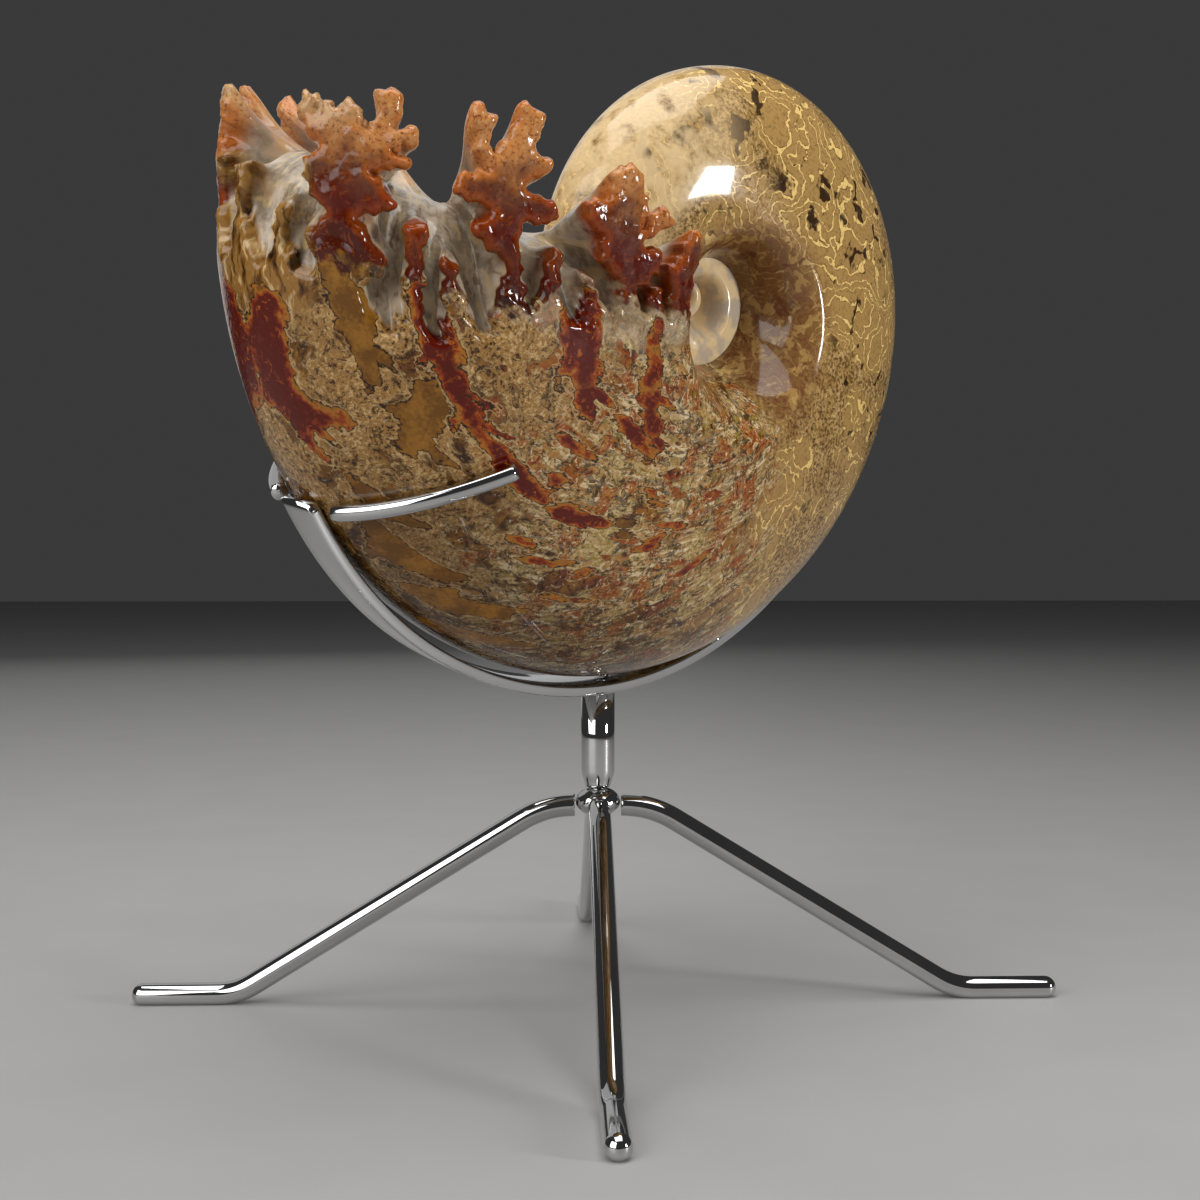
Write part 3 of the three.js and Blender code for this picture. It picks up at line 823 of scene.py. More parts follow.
def band_section():
    """Corners of the bar's section, with a small bevel: distance outwards and across."""
    half = BAND_WIDTH / 2
    near, far = BAND_EDGE * EDGE_SHARE, BAND_THICKNESS - BAND_EDGE * EDGE_SHARE
    side = [(0, half - BAND_EDGE), (near, half - near), (BAND_EDGE, half)]
    side += [(BAND_THICKNESS - BAND_EDGE, half), (far, half - near), (BAND_THICKNESS, half - BAND_EDGE)]
    other = [(o, -w) for o, w in side[::-1]]
    return [other[-1], *side, *other[:-1]]


def turned_over(faces):
    """The faces seen from the other side; a quad keeps its first corner, and so its diagonal."""
    return [(face[0], *face[:0:-1]) if len(face) == 4 else face[::-1] for face in faces]


def band_shape():
    section = band_section()
    angles = np.linspace(BAND_START_ANGLE, BAND_END_ANGLE, BAND_STATIONS + 1)
    inner = whorl_radius(angles) + band_gap(angles)
    outward = np.array([o for o, _ in section])
    across = np.array([w for _, w in section])
    points = np.vstack([coil_point(a, r + outward, across) for a, r in zip(angles, inner)])
    return to_world(points), turned_over(ring_faces(len(angles), len(section)))


print("gap under the band:", [round(float(band_gap(a)), 2) for a in (-150, -110, -70, -30)], "mm")

# %% Arms
ARM_ANGLE = -151.4
ARM_START = 0.985
ARM_END = 0.735
ARM_STATIONS = 40
FLANK_ONLY = 150


def arm_shape(side):
    stand = ARM_DIAMETER / 2 + GAP
    held = (section_fraction <= ARM_START) & (section_fraction >= ARM_END) & (section_run < FLANK_ONLY)
    distances = np.linspace(section_run[held][0], section_run[held][-1], ARM_STATIONS) * side
    fraction, width = section_at(distances)
    along, across = section_outward(distances)
    radius = whorl_radius(ARM_ANGLE)
    line = coil_point(ARM_ANGLE, fraction * radius + along * stand, width * radius + across * stand)
    way = np.array([cos(radians(ARM_ANGLE + 90)), sin(radians(ARM_ANGLE + 90)), 0])
    points, faces = swept_rings(line, [ARM_DIAMETER / 2] * len(line), side_hint=way)
    return to_world(points), faces


near_arm = arm_shape(1)
print("arm ends", round(float(near_arm[0][:, 2].max() / MM), 1), "mm above the table")

# %% Where the post meets the band
def post_crossing():
    """Angle of the coil at the axis of the post."""
    world_to_coil = coil_to_world.inverted()
    foot, head = world_to_coil @ Vector((0, 0, 0)), world_to_coil @ Vector((0, 0, 1))
    spot = foot + (head - foot) * (-foot.z / (head.z - foot.z))
    return np.degrees(np.arctan2(spot.y, spot.x))


post_angle = post_crossing()
print("the post meets the band at", round(float(post_angle), 1), "degrees")

# %% [markdown]
# ## Post, hub, screw and cross rod
# These are turned pieces, so each is a profile of radius and height, spun round an axis. The post is cut
# at the top to the curve of the band: for every point of its rim the height is found by halving, until it
# lies just under the band. The hub is a short drum whose weld beads make it a little uneven.

# %% Post
HUB_TOP = 91.8
POST_NECK = ((1.6, 0), (1.5, 1), (0.9, 3), (0.25, 5), (0, 7), (0, 20))
POST_REACH = 165.0
POST_SIDES = 64
HALVINGS = 30


def post_shape():
    radius = POST_DIAMETER / 2
    foot = HUB_TOP + GAP
    profile = [(radius - less, foot + up) for less, up in POST_NECK] + [(radius, POST_REACH)]
    points, faces = turned(profile, POST_SIDES)
    world_to_coil = np.array(coil_to_world.inverted())
    for i in range(len(points) - POST_SIDES, len(points)):
        low, high = profile[-2][1], POST_REACH
        for _ in range(HALVINGS):
            middle = (low + high) / 2
            spot = world_to_coil[:3, :3] @ np.array([*points[i][:2], middle]) + world_to_coil[:3, 3]
            angle = np.degrees(np.arctan2(spot[1], spot[0]))
            band_outside = whorl_radius(angle) + band_gap(angle) + BAND_THICKNESS
            outside = np.hypot(spot[0], spot[1]) > band_outside + GAP
            low, high = (middle, high) if outside else (low, middle)
        points[i][2] = low
    return points * MM, faces


post = post_shape()
print("the post ends", round(float(post[0][:, 2].max() / MM), 1), "mm above the table")

# %% Cross rod
END_ROD_ANGLE = -22.3
END_ROD_LENGTH = 27
END_ROD_NOSE = 2.2


def end_rod_shape():
    radius = ARM_DIAMETER / 2
    straight = END_ROD_LENGTH / 2 - END_ROD_NOSE
    out, shrink = eased_end(radius, END_ROD_NOSE)
    profile = [(r, -straight - o) for o, r in zip(out[::-1], shrink[::-1])] + [(radius, -straight)]
    profile += [(radius, straight)] + [(r, straight + o) for o, r in zip(out, shrink)]
    points, faces = turned(profile, ROD_SIDES)
    place = coil_point(END_ROD_ANGLE, whorl_radius(END_ROD_ANGLE) + GAP + radius, 0)
    return to_world(points + place), faces


end_rod = end_rod_shape()
print("the cross rod lies", round(float(end_rod[0][:, 2].mean() / MM), 1), "mm above the table")

# %% Screw
SCREW_RADIUS = 3
SCREW_HEIGHT = 1.8
SCREW_RIM = 0.3
SCREW_SEAT = 0.8
SCREW_SIDES = 32
SCREW_CENTRE = 0.05


def screw_shape():
    """A domed head on the inner face of the band, over the post."""
    profile = [(SCREW_RADIUS, 0), (SCREW_RADIUS, SCREW_HEIGHT * SCREW_RIM)]
    for a in np.linspace(0.15, 1, 7) * pi / 2:
        height = SCREW_RIM + (1 - SCREW_RIM) * sin(a)
        profile.append((SCREW_RADIUS * cos(a) + SCREW_CENTRE, SCREW_HEIGHT * height))
    points, faces = turned(profile, SCREW_SIDES)
    spin = Vector((0, 0, 1)).rotation_difference(Vector(coil_point(post_angle, -1, 0))).to_matrix()
    seat = coil_point(post_angle, whorl_radius(post_angle) + band_gap(post_angle) - SCREW_SEAT, 0)
    return to_world(points @ np.array(spin).T + seat), faces


screw = screw_shape()
print("screw head:", 2 * SCREW_RADIUS, "mm across,", len(screw[0]), "points")

# %% Hub
HUB_RADIUS = 9.6
HUB_BOTTOM = 79
HUB_ROWS = 24
HUB_SIDES = 96
HUB_ROUNDNESS = 0.42
BEAD_SCALE = 0.45
BEAD_DEPTH = 0.5


def hub_shape():
    heights = np.linspace(0, 1, HUB_ROWS + 1)
    waist = np.sin(np.clip(heights, 0.02, 0.98) * pi) ** HUB_ROUNDNESS
    tall = HUB_TOP - HUB_BOTTOM
    profile = [(max(1.0, HUB_RADIUS * w), HUB_BOTTOM + tall * h) for w, h in zip(waist, heights)]
    points, faces = turned(profile, HUB_SIDES)
    for i, (x, y, z) in enumerate(points):
        ripple = noise.noise(Vector((x, y, z)) * BEAD_SCALE) * BEAD_DEPTH
        size = np.hypot(x, y)
        points[i][:2] *= min(1.0, max(0.2, (size + ripple) / max(size, 0.1)))
    return points * MM, faces


hub = hub_shape()
print("hub:", HUB_BOTTOM, "to", HUB_TOP, "mm of height")

# %% [markdown]
# ## Stained fields
# Iron has stained some chambers red and some mustard, and these few large fields are what one remembers
# of the stone. Noise alone would put them anywhere. So each is a stroke, as with a brush that tapers: its
# points give the distance from the keel, the advance, and half the width there, all in mm. The near and
# the far flank share them.

# %% Red fields
RED_FIELDS = (
    ((15, -62, 9), (9, -78, 12), (13, -95, 10), (25, -100, 6), (38, -99, 4)),
    ((14, -94, 7), (20, -112, 4), (27, -122, 1)), ((20, -104, 4), (34, -112, 2)),
    ((6, -78, 8), (3, -100, 3)),
    ((74, -44, 7), (78, -60, 8), (82, -76, 5), (85, -94, 4)), ((82, -74, 4), (94, -80, 1)),
    ((84, -88, 3), (97, -92, 1)), ((83, -84, 3), (75, -94, 1)), ((78, -62, 4), (70, -68, 1)),
    ((134, -30, 9), (133, -42, 9), (132, -57, 6), (131, -74, 4)),
    ((133, -50, 4), (122, -60, 2), (119, -72, 1)), ((132, -60, 4), (142, -68, 2), (144, -78, 1)),
    ((134, -40, 5), (124, -44, 1)), ((133, -44, 5), (143, -50, 1)),
    ((169, -26, 3), (166, -44, 4), (160, -62, 5), (155, -90, 3)), ((163, -56, 3), (170, -66, 1)),
    ((80, -150, 4), (83, -153, 3)), ((104, -132, 8), (112, -140, 5)), ((118, -168, 5), (126, -160, 2)),
    ((90, -98, 5), (94, -112, 7), (98, -124, 4)), ((146, -76, 5), (150, -92, 4), (146, -100, 2)),
    ((118, -88, 4), (124, -96, 3)), ((78, -164, 4), (90, -170, 3)), ((110, -212, 4), (122, -204, 3)),
    ((72, -196, 3), (80, -204, 2)), ((130, -150, 3), (134, -162, 2)),
    ((121, -13, 3), (119, -25, 4), (115, -36, 1)),
    ((92, -176, 3), (86, -182, 1)), ((140, -120, 3), (137, -134, 2)), ((108, -110, 4), (103, -118, 2)),
)
print("red strokes:", len(RED_FIELDS))

# %% Mustard fields
MUSTARD_FIELDS = (
    ((40, -40, 4), (48, -56, 8), (52, -74, 5), (50, -84, 2)), ((50, -66, 6), (60, -74, 2)),
    ((74, -74, 3), (70, -86, 8), (64, -96, 7), (57, -106, 4)), ((66, -92, 5), (54, -90, 1)),
    ((70, -84, 6), (80, -84, 1)), ((62, -100, 5), (72, -110, 2)),
    ((30, -150, 5), (34, -166, 9), (44, -176, 6), (54, -178, 2)), ((30, -160, 6), (20, -170, 2)),
    ((28, -190, 6), (38, -200, 10), (50, -206, 6), (60, -204, 2)), ((36, -196, 8), (44, -184, 2)),
    ((34, -128, 4), (40, -140, 6), (50, -146, 3)), ((16, -220, 6), (30, -232, 8), (44, -244, 3)),
    ((96, -118, 5), (98, -126, 3)), ((120, -142, 4), (116, -152, 3)),
)
print("mustard strokes:", len(MUSTARD_FIELDS))

# %% Distance inside the strokes
FAR_OUTSIDE = -40.0


def drawn(fields, runs, advances):
    """How far inside the strokes each point lies, in mm; negative outside."""
    away = np.abs(runs)
    inside = np.full(len(runs), FAR_OUTSIDE)
    for stroke in fields:
        for (x0, y0, w0), (x1, y1, w1) in zip(stroke, stroke[1:]):
            along = (away - x0) * (x1 - x0) + (advances - y0) * (y1 - y0)
            share = along / ((x1 - x0) ** 2 + (y1 - y0) ** 2)
            share = np.clip(share, 0, 1)
            gap = np.hypot(away - x0 - share * (x1 - x0), advances - y0 - share * (y1 - y0))
            inside = np.maximum(inside, w0 + share * (w1 - w0) - gap)
    return inside


in_red = drawn(RED_FIELDS, crown_places[:, 0], crown_places[:, 1])
print("share of the crown's skin inside red strokes:", round(float((in_red > 0).mean()), 3))

# %% [markdown]
# ## The stone as two pieces
# The numbers come together here. The crown gets its own depth and gap. On the whorls nothing is carved, so
# there the depth is nought and the gap is set far away. The outer whorl and the two navels go into one
# mesh, because they are one skin.

# %% Crown, whorls and navels as pieces
NO_GAP = 99


def build_stone(material):
    angle = forward_angle(crown_places[:, 1], section_at(crown_places[:, 0])[0])
    signed = suture_numbers(crown_places[:, 0], angle)
    stone_piece("ammonite_crown", crown_points, crown_all_faces, {
        "run": crown_places[:, 0], "advance": crown_places[:, 1], "turn": angle,
        "depth": crown_depth, "gap": crown_gap, "suture": signed, "red": in_red,
        "mustard": drawn(MUSTARD_FIELDS, crown_places[:, 0], crown_places[:, 1]),
    }, material)
    runs = [np.broadcast_to(column_run[None, :], outer_angles.shape).reshape(-1)]
    angles = [outer_angles.reshape(-1)]
    points = [outer_points]
    faces = list(outer_faces)
    total = len(outer_points)
    for side in (1, -1):
        side_points, side_faces, run, turn = navels[side]
        faces += [tuple(i + total for i in face) for face in side_faces]
        total += len(side_points)
        points.append(side_points)
        runs.append(run)
        angles.append(turn)
    runs, angles = np.concatenate(runs), np.concatenate(angles)
    signed = suture_numbers(runs, angles)
    turning_at = np.maximum(section_at(runs)[0], TURNING_FRACTION)
    advance = -np.radians(angles - CROWN_ANGLE) * turning_at * CROWN_RADIUS
    zeros = np.zeros(len(runs))
    stone_piece("ammonite_whorls", np.vstack(points), faces, {
        "run": runs, "advance": advance, "turn": angles,
        "depth": zeros, "gap": zeros + NO_GAP, "suture": signed,
        "red": drawn(RED_FIELDS, runs, advance), "mustard": drawn(MUSTARD_FIELDS, runs, advance),
    }, material)


# %% [markdown]
# ## A small kit for finishes
# Every finish below is built from the same few nodes: numbers stored on the mesh, noise, cells, ramps
# and mixes. Adding and linking them by hand takes four lines each, so one class gives them short names
# and keeps the recipes readable. Each call adds one node and gives back its output.

# %% Node helpers
class Finish:
    """A material in the making."""

    def __init__(self, name):
        self.material = bpy.data.materials.new(name)
        self.material.use_nodes = True
        self.nodes = self.material.node_tree.nodes
        self.links = self.material.node_tree.links
        self.shader = self.nodes["Principled BSDF"]

    def feed(self, socket, value):
        if isinstance(value, bpy.types.NodeSocket):
            self.links.new(value, socket)
        else:
            socket.default_value = value

    def number(self, name):
        node = self.nodes.new("ShaderNodeAttribute")
        node.attribute_name = name
        return node.outputs["Fac"]

    def math(self, operation, a, b=0.0):
        node = self.nodes.new("ShaderNodeMath")
        node.operation = operation
        self.feed(node.inputs[0], a)
        self.feed(node.inputs[1], b)
        return node.outputs[0]

    def add(self, a, b):
        return self.math("ADD", a, b)

    def times(self, a, b):
        return self.math("MULTIPLY", a, b)

    def vector(self, x, y, z=0.0):
        node = self.nodes.new("ShaderNodeCombineXYZ")
        for socket, value in zip(node.inputs, (x, y, z)):
            self.feed(socket, value)
        return node.outputs[0]

    def place(self):
        """Where the point is in the room, in mm."""
        source = self.nodes.new("ShaderNodeTexCoord").outputs["Object"]
        node = self.nodes.new("ShaderNodeVectorMath")
        node.operation = "SCALE"
        self.feed(node.inputs[0], source)
        node.inputs["Scale"].default_value = 1 / MM
        return node.outputs[0]

    def noise(self, vector, size, detail=3.0, rough=0.5, colour=False):
        """Soft noise with lumps about as large as size, in mm."""
        node = self.nodes.new("ShaderNodeTexNoise")
        self.feed(node.inputs["Vector"], vector)
        node.inputs["Scale"].default_value = 1 / size
        node.inputs["Detail"].default_value = detail
        node.inputs["Roughness"].default_value = rough
        return node.outputs["Color" if colour else "Fac"]

    def swing(self, vector, size):
        """Noise around zero, reaching about 1 either way."""
        return self.times(self.math("SUBTRACT", self.noise(vector, size, 2.0), 0.5), 2.0)

    def cells(self, vector, size, wanted="Color"):
        """Cells of about this size in mm, on a flat pair of numbers."""
        node = self.nodes.new("ShaderNodeTexVoronoi")
        node.voronoi_dimensions = "2D"
        self.feed(node.inputs["Vector"], vector)
        node.inputs["Scale"].default_value = 1 / size
        return node.outputs[wanted]

    def moved(self, vector, size, reach):
        """The same place, pushed about by noise so that edges wander."""
        push = self.nodes.new("ShaderNodeVectorMath")
        push.operation = "MULTIPLY_ADD"
        self.feed(push.inputs[0], self.noise(vector, size, 2.0, colour=True))
        push.inputs[1].default_value = (reach, reach, reach)
        self.feed(push.inputs[2], vector)
        return push.outputs[0]

    def mask(self, value, low, high):
        """0 below the first value, 1 above the second, smooth between."""
        node = self.nodes.new("ShaderNodeMapRange")
        node.interpolation_type = "SMOOTHSTEP"
        self.feed(node.inputs["Value"], value)
        node.inputs["From Min"].default_value = min(low, high)
        node.inputs["From Max"].default_value = max(low, high)
        node.inputs["To Min"].default_value = 0.0 if low < high else 1.0
        node.inputs["To Max"].default_value = 1.0 if low < high else 0.0
        return node.outputs["Result"]

    def between(self, value, low, high, soft):
        """1 between two values, falling to 0 outside."""
        rise = self.mask(value, low - soft, low + soft)
        return self.times(rise, self.mask(value, high + soft, high - soft))

    def ramp(self, value, *stops):
        """Colours along a number, as pairs of position and colour."""
        node = self.nodes.new("ShaderNodeValToRGB")
        self.feed(node.inputs["Fac"], value)
        ramp = node.color_ramp
        while len(ramp.elements) < len(stops):
            ramp.elements.new(0.5)
        for element, (position, _) in zip(ramp.elements, stops):
            element.position = position
        for element, (_, colour) in zip(ramp.elements, stops):
            element.color = (*colour, 1)
        return node.outputs["Color"]

    def mix(self, share, first, second):
        """A colour part of the way from the first to the second."""
        node = self.nodes.new("ShaderNodeMix")
        node.data_type = "RGBA"
        self.feed(node.inputs["Factor"], share)
        for socket, value in ((node.inputs["A"], first), (node.inputs["B"], second)):
            colour = value if isinstance(value, bpy.types.NodeSocket) else (*value, 1)
            self.feed(socket, colour)
        return node.outputs["Result"]

    def blend(self, share, first, second):
        """A number part of the way from the first to the second."""
        node = self.nodes.new("ShaderNodeMix")
        self.feed(node.inputs["Factor"], share)
        self.feed(node.inputs["A"], first)
        self.feed(node.inputs["B"], second)
        return node.outputs["Result"]

    def bump(self, height, strength, distance):
        node = self.nodes.new("ShaderNodeBump")
        node.inputs["Strength"].default_value = strength
        node.inputs["Distance"].default_value = distance * MM
        self.feed(node.inputs["Height"], height)
        return node.outputs["Normal"]

    def set(self, **values):
        for name, value in values.items():
            self.feed(self.shader.inputs[name.replace("_", " ")], value)


print("the kit has", len([name for name in vars(Finish) if not name.startswith("_")]), "short names")

# %% [markdown]
# ## Colours
# The stone has few colours, and most are one of three: tan sand, amber and red iron stain, and gold. They
# are given as linear light, so they look darker in numbers than on the screen. Each comes with a darker
# and a paler sister, because polished stone shows depth by small steps of the same hue.

# %% Colours of the flank
TAN = (0.29, 0.152, 0.044)
TAN_DARK = (0.050, 0.022, 0.006)
TAN_PALE = (0.50, 0.32, 0.13)
MUSTARD = (0.130, 0.052, 0.006)
MUSTARD_BRIGHT = (0.26, 0.112, 0.013)
AMBER = (0.26, 0.052, 0.004)
DARK_RED = (0.090, 0.006, 0.001)
EMBER = (0.20, 0.024, 0.003)
DARK_BROWN = (0.020, 0.008, 0.004)
SMOKE = (0.46, 0.37, 0.27)
CREAM = (0.55, 0.39, 0.19)
OLIVE = (0.27, 0.18, 0.026)
GREY = (0.24, 0.19, 0.13)
# Painted glints: a pale colour that stands for light glinting off crystals.
PAINTED_GLINT = (0.74, 0.60, 0.36)
print("tan is", round(TAN[0] / TAN[2], 1), "times as strong in red as in blue")

# %% Colours of the dome and the trees
GOLD = (0.36, 0.215, 0.070)
GOLD_DARK = (0.075, 0.034, 0.009)
PALE_CREAM = (0.68, 0.50, 0.27)
PALE_YELLOW = (0.76, 0.52, 0.18)
APRICOT = (0.50, 0.205, 0.062)
HEAD_TAN = (0.44, 0.235, 0.098)
PINKISH = (0.34, 0.19, 0.12)
ORANGE_RED = (0.32, 0.048, 0.006)
ORANGE = (0.52, 0.145, 0.020)
TREE_BROWN = (0.13, 0.040, 0.016)
MAROON = (0.060, 0.007, 0.002)
RUST = (0.36, 0.125, 0.014)
HOT_ORANGE = (0.46, 0.115, 0.010)
NAVEL_BROWN = (0.150, 0.072, 0.022)
print("gold is", round(GOLD[0] / GOLD_DARK[0], 1), "times as light as its dark lines")

# %% [markdown]
# ## Numbers and noises that all the stone shares
# A noise costs time at every ray, so the ones that several recipes need are made once and kept: two that
# push a place about, so that edges wander, three swings of small, medium and large size on the unrolled
# skin, and three plain ones for grain. Sizes are in mm of the real stone.

# %% Shared numbers and noises of the stone
def stone_patterns():
    f = Finish("polished_fossil")
    for name in ("run", "advance", "turn", "depth", "gap", "suture", "red", "mustard"):
        setattr(f, name, f.number(name))
    f.away = f.math("ABSOLUTE", f.run)
    f.spot = f.place()
    f.skin = f.vector(f.run, f.advance)
    f.wander = f.moved(f.spot, 14.0, 15.0)
    f.frill = f.moved(f.wander, 4.6, 5.5)
    f.fine = f.noise(f.spot, 1.5, 3.0, 0.7)
    f.coarse = f.noise(f.spot, 9.0, 3.0, 0.55)
    f.small = f.swing(f.skin, 2.1)
    f.medium = f.swing(f.skin, 7.2)
    f.large = f.swing(f.skin, 28.0)
    f.grit = f.noise(f.frill, 2.3, 2.0, 0.65)
    return f


# %% [markdown]
# ## Sand and crystals
# Low on the flank the chambers are filled with fine sand, and further round with angular crystals. Sand
# is a ramp over fine noise. Crystals are flat cells, each with a colour of its own, pushed about so that
# they look broken, with rusty, clear and sooty zones laid over them. The palest cells are painted glints.
# Real grains would be far too many.

# %% Sand and crystals
def sand_and_crystals(f):
    grain = f.blend(0.3, f.fine, f.coarse)
    sand = f.ramp(grain, (0.39, TAN_DARK), (0.455, TAN), (0.53, TAN), (0.59, TAN_PALE))
    shard = f.nodes.new("ShaderNodeSeparateColor")
    across = f.add(f.run, f.add(f.times(f.medium, 7.0), f.times(f.small, 2.5)))
    along = f.add(f.advance, f.add(f.times(f.large, 9.0), f.times(f.medium, -6.0)))
    f.feed(shard.inputs[0], f.cells(f.vector(across, along), 2.9))
    # The top of this ramp is a painted glint, not a crystal colour.
    chips = f.ramp(
        shard.outputs["Red"], (0.0, DARK_BROWN), (0.12, GREY), (0.24, OLIVE), (0.40, TAN),
        (0.56, TAN_PALE), (0.72, RUST), (0.80, CREAM), (0.94, PAINTED_GLINT),
    )
    chips = f.mix(0.3, chips, sand)
    zone = f.noise(f.frill, 13.0, 3.0, 0.6)
    rusty = f.mix(f.mask(f.fine, 0.42, 0.6), EMBER, RUST)
    chips = f.mix(f.times(f.mask(zone, 0.54, 0.58), 0.85), chips, rusty)
    chips = f.mix(f.times(f.between(zone, 0.50, 0.53, 0.01), 0.75), chips, DARK_BROWN)
    clear = f.mix(f.mask(f.fine, 0.40, 0.62), OLIVE, CREAM)
    chips = f.mix(f.times(f.mask(zone, 0.44, 0.38), 0.75), chips, clear)
    reach = f.add(f.turn, f.add(f.times(f.large, 26.0), f.times(f.away, 0.28)))
    return sand, chips, f.mask(reach, -138, -112)


# %% [markdown]
# ## Leaves along the older sutures
# Under the polish every older chamber wall shows as glassy leaves with a dark edge and a thin pale line.
# The signed distance on the mesh is all that is needed: above nought lies glass, below it sand, and a
# narrow band round nought draws the two lines. Noise added to it first makes the edge ragged.

# %% Leaves along the older sutures
def suture_leaves(f, sand, chips, crystal_share):
    ground = f.mix(crystal_share, sand, chips)
    edge = f.add(f.suture, f.add(f.times(f.medium, 5.0), f.times(f.small, 2.4)))
    hue = f.add(f.times(f.away, 1 / FLANK_LENGTH), f.times(f.large, 0.2))
    glass = f.ramp(
        hue, (0.0, MUSTARD), (0.30, MUSTARD), (0.38, TREE_BROWN), (0.46, AMBER), (0.56, MUSTARD_BRIGHT),
        (0.64, AMBER), (0.70, EMBER), (0.78, OLIVE), (0.9, MUSTARD),
    )
    veins = f.noise(f.frill, 6.0, 2.0, 0.6)
    glass = f.mix(f.times(f.mask(veins, 0.52, 0.66), 0.8), glass, MUSTARD_BRIGHT)
    glass = f.mix(f.times(f.mask(veins, 0.46, 0.36), 0.8), glass, DARK_BROWN)
    kept = f.mask(f.large, -0.14, -0.05)
    flank = f.mix(f.times(f.mask(edge, 1.6, 2.4), kept), ground, glass)
    flank = f.mix(f.times(f.mask(f.grit, 0.43, 0.36), 0.75), flank, DARK_BROWN)
    # Painted highlights: pale specks for light glinting off the crystals, more of them among the crystals.
    painted_sparkle = f.times(f.mask(f.grit, 0.60, 0.68), f.blend(crystal_share, 0.3, 0.7))
    flank = f.mix(painted_sparkle, flank, PAINTED_GLINT)
    flank = f.mix(f.times(f.between(edge, 0.9, 1.9, 0.5), 0.6), flank, DARK_BROWN)
    flank = f.mix(f.times(f.between(edge, 0.3, 0.8, 0.3), 0.35), flank, CREAM)
    # Painted shade: the lower flank near the keel is darkened, as if less light falls there.
    painted_shade_below = f.times(f.between(f.turn, -150, -88, 14), f.mask(f.away, 120, 40))
    return f.mix(f.times(painted_shade_below, 0.55), flank, DARK_BROWN)


# %% [markdown]
# ## Red and mustard fields
# The strokes say how many millimetres a place lies inside a field. Near the edge the red ones glow like
# amber, deeper in they darken, with sparks of orange and clouds of maroon, as in stained glass. The
# mustard ones stay flat and waxy. Along the keel a fibrous strip covers what lies under it.

# %% Drawn fields and the strip along the keel
def drawn_fields(f, flank):
    crumple = f.add(f.times(f.medium, 4.6), f.times(f.small, 2.2))
    mustard = f.add(f.mustard, crumple)
    leaf = f.mix(f.mask(f.blend(0.35, f.coarse, f.fine), 0.42, 0.62), MUSTARD, MUSTARD_BRIGHT)
    flank = f.mix(f.times(f.between(mustard, -1.0, -0.3, 0.4), 0.4), flank, TAN_PALE)
    flank = f.mix(f.mask(mustard, -0.2, 0.3), flank, DARK_BROWN)
    flank = f.mix(f.mask(mustard, 0.4, 1.0), flank, leaf)
    red = f.add(f.red, crumple)
    heat = f.add(red, f.add(f.times(f.math("SUBTRACT", f.coarse, 0.5), 14.0), f.times(f.large, 3.0)))
    glow = f.ramp(
        f.mask(heat, -1, 7), (0.0, MUSTARD_BRIGHT), (0.14, RUST), (0.30, AMBER), (0.46, EMBER),
        (0.66, DARK_RED), (1.0, DARK_RED),
    )
    sparks = f.times(f.mask(f.grit, 0.54, 0.66), f.mask(f.medium, -0.1, 0.3))
    glow = f.mix(f.times(sparks, 0.75), glow, HOT_ORANGE)
    glow = f.mix(f.times(f.mask(f.medium, -0.1, -0.5), 0.7), glow, MAROON)
    glow = f.mix(f.times(f.mask(f.fine, 0.46, 0.34), 0.5), glow, MAROON)
    flank = f.mix(f.times(f.between(red, -0.9, -0.3, 0.3), 0.55), flank, CREAM)
    flank = f.mix(f.mask(red, -0.1, 0.3), flank, DARK_BROWN)
    flank = f.mix(f.mask(red, 0.4, 0.9), flank, glow)
    fibres = f.noise(f.vector(f.add(f.run, f.times(f.medium, 3.0)), f.times(f.advance, 0.28)), 4.6, 3.0, 0.6)
    strip = f.ramp(
        fibres, (0.34, DARK_BROWN), (0.42, MUSTARD), (0.50, TAN), (0.56, MUSTARD_BRIGHT), (0.64, CREAM)
    )
    at_keel = f.times(f.mask(f.away, 37, 30), f.mask(f.add(f.advance, f.times(f.large, 14.0)), -70, -54))
    return f.mix(f.times(at_keel, f.mask(red, 0.6, -0.4)), flank, strip)


# %% [markdown]
# ## The golden dome
# The older half turn shows crowded sutures as a yellow labyrinth. Level lines of a noise give just such
# closed, winding loops: the sine of a noise is near nought along them. Calm patches, dark blots, a pale
# cheek beside the crown and the browner wall of the navel are mixed over it.

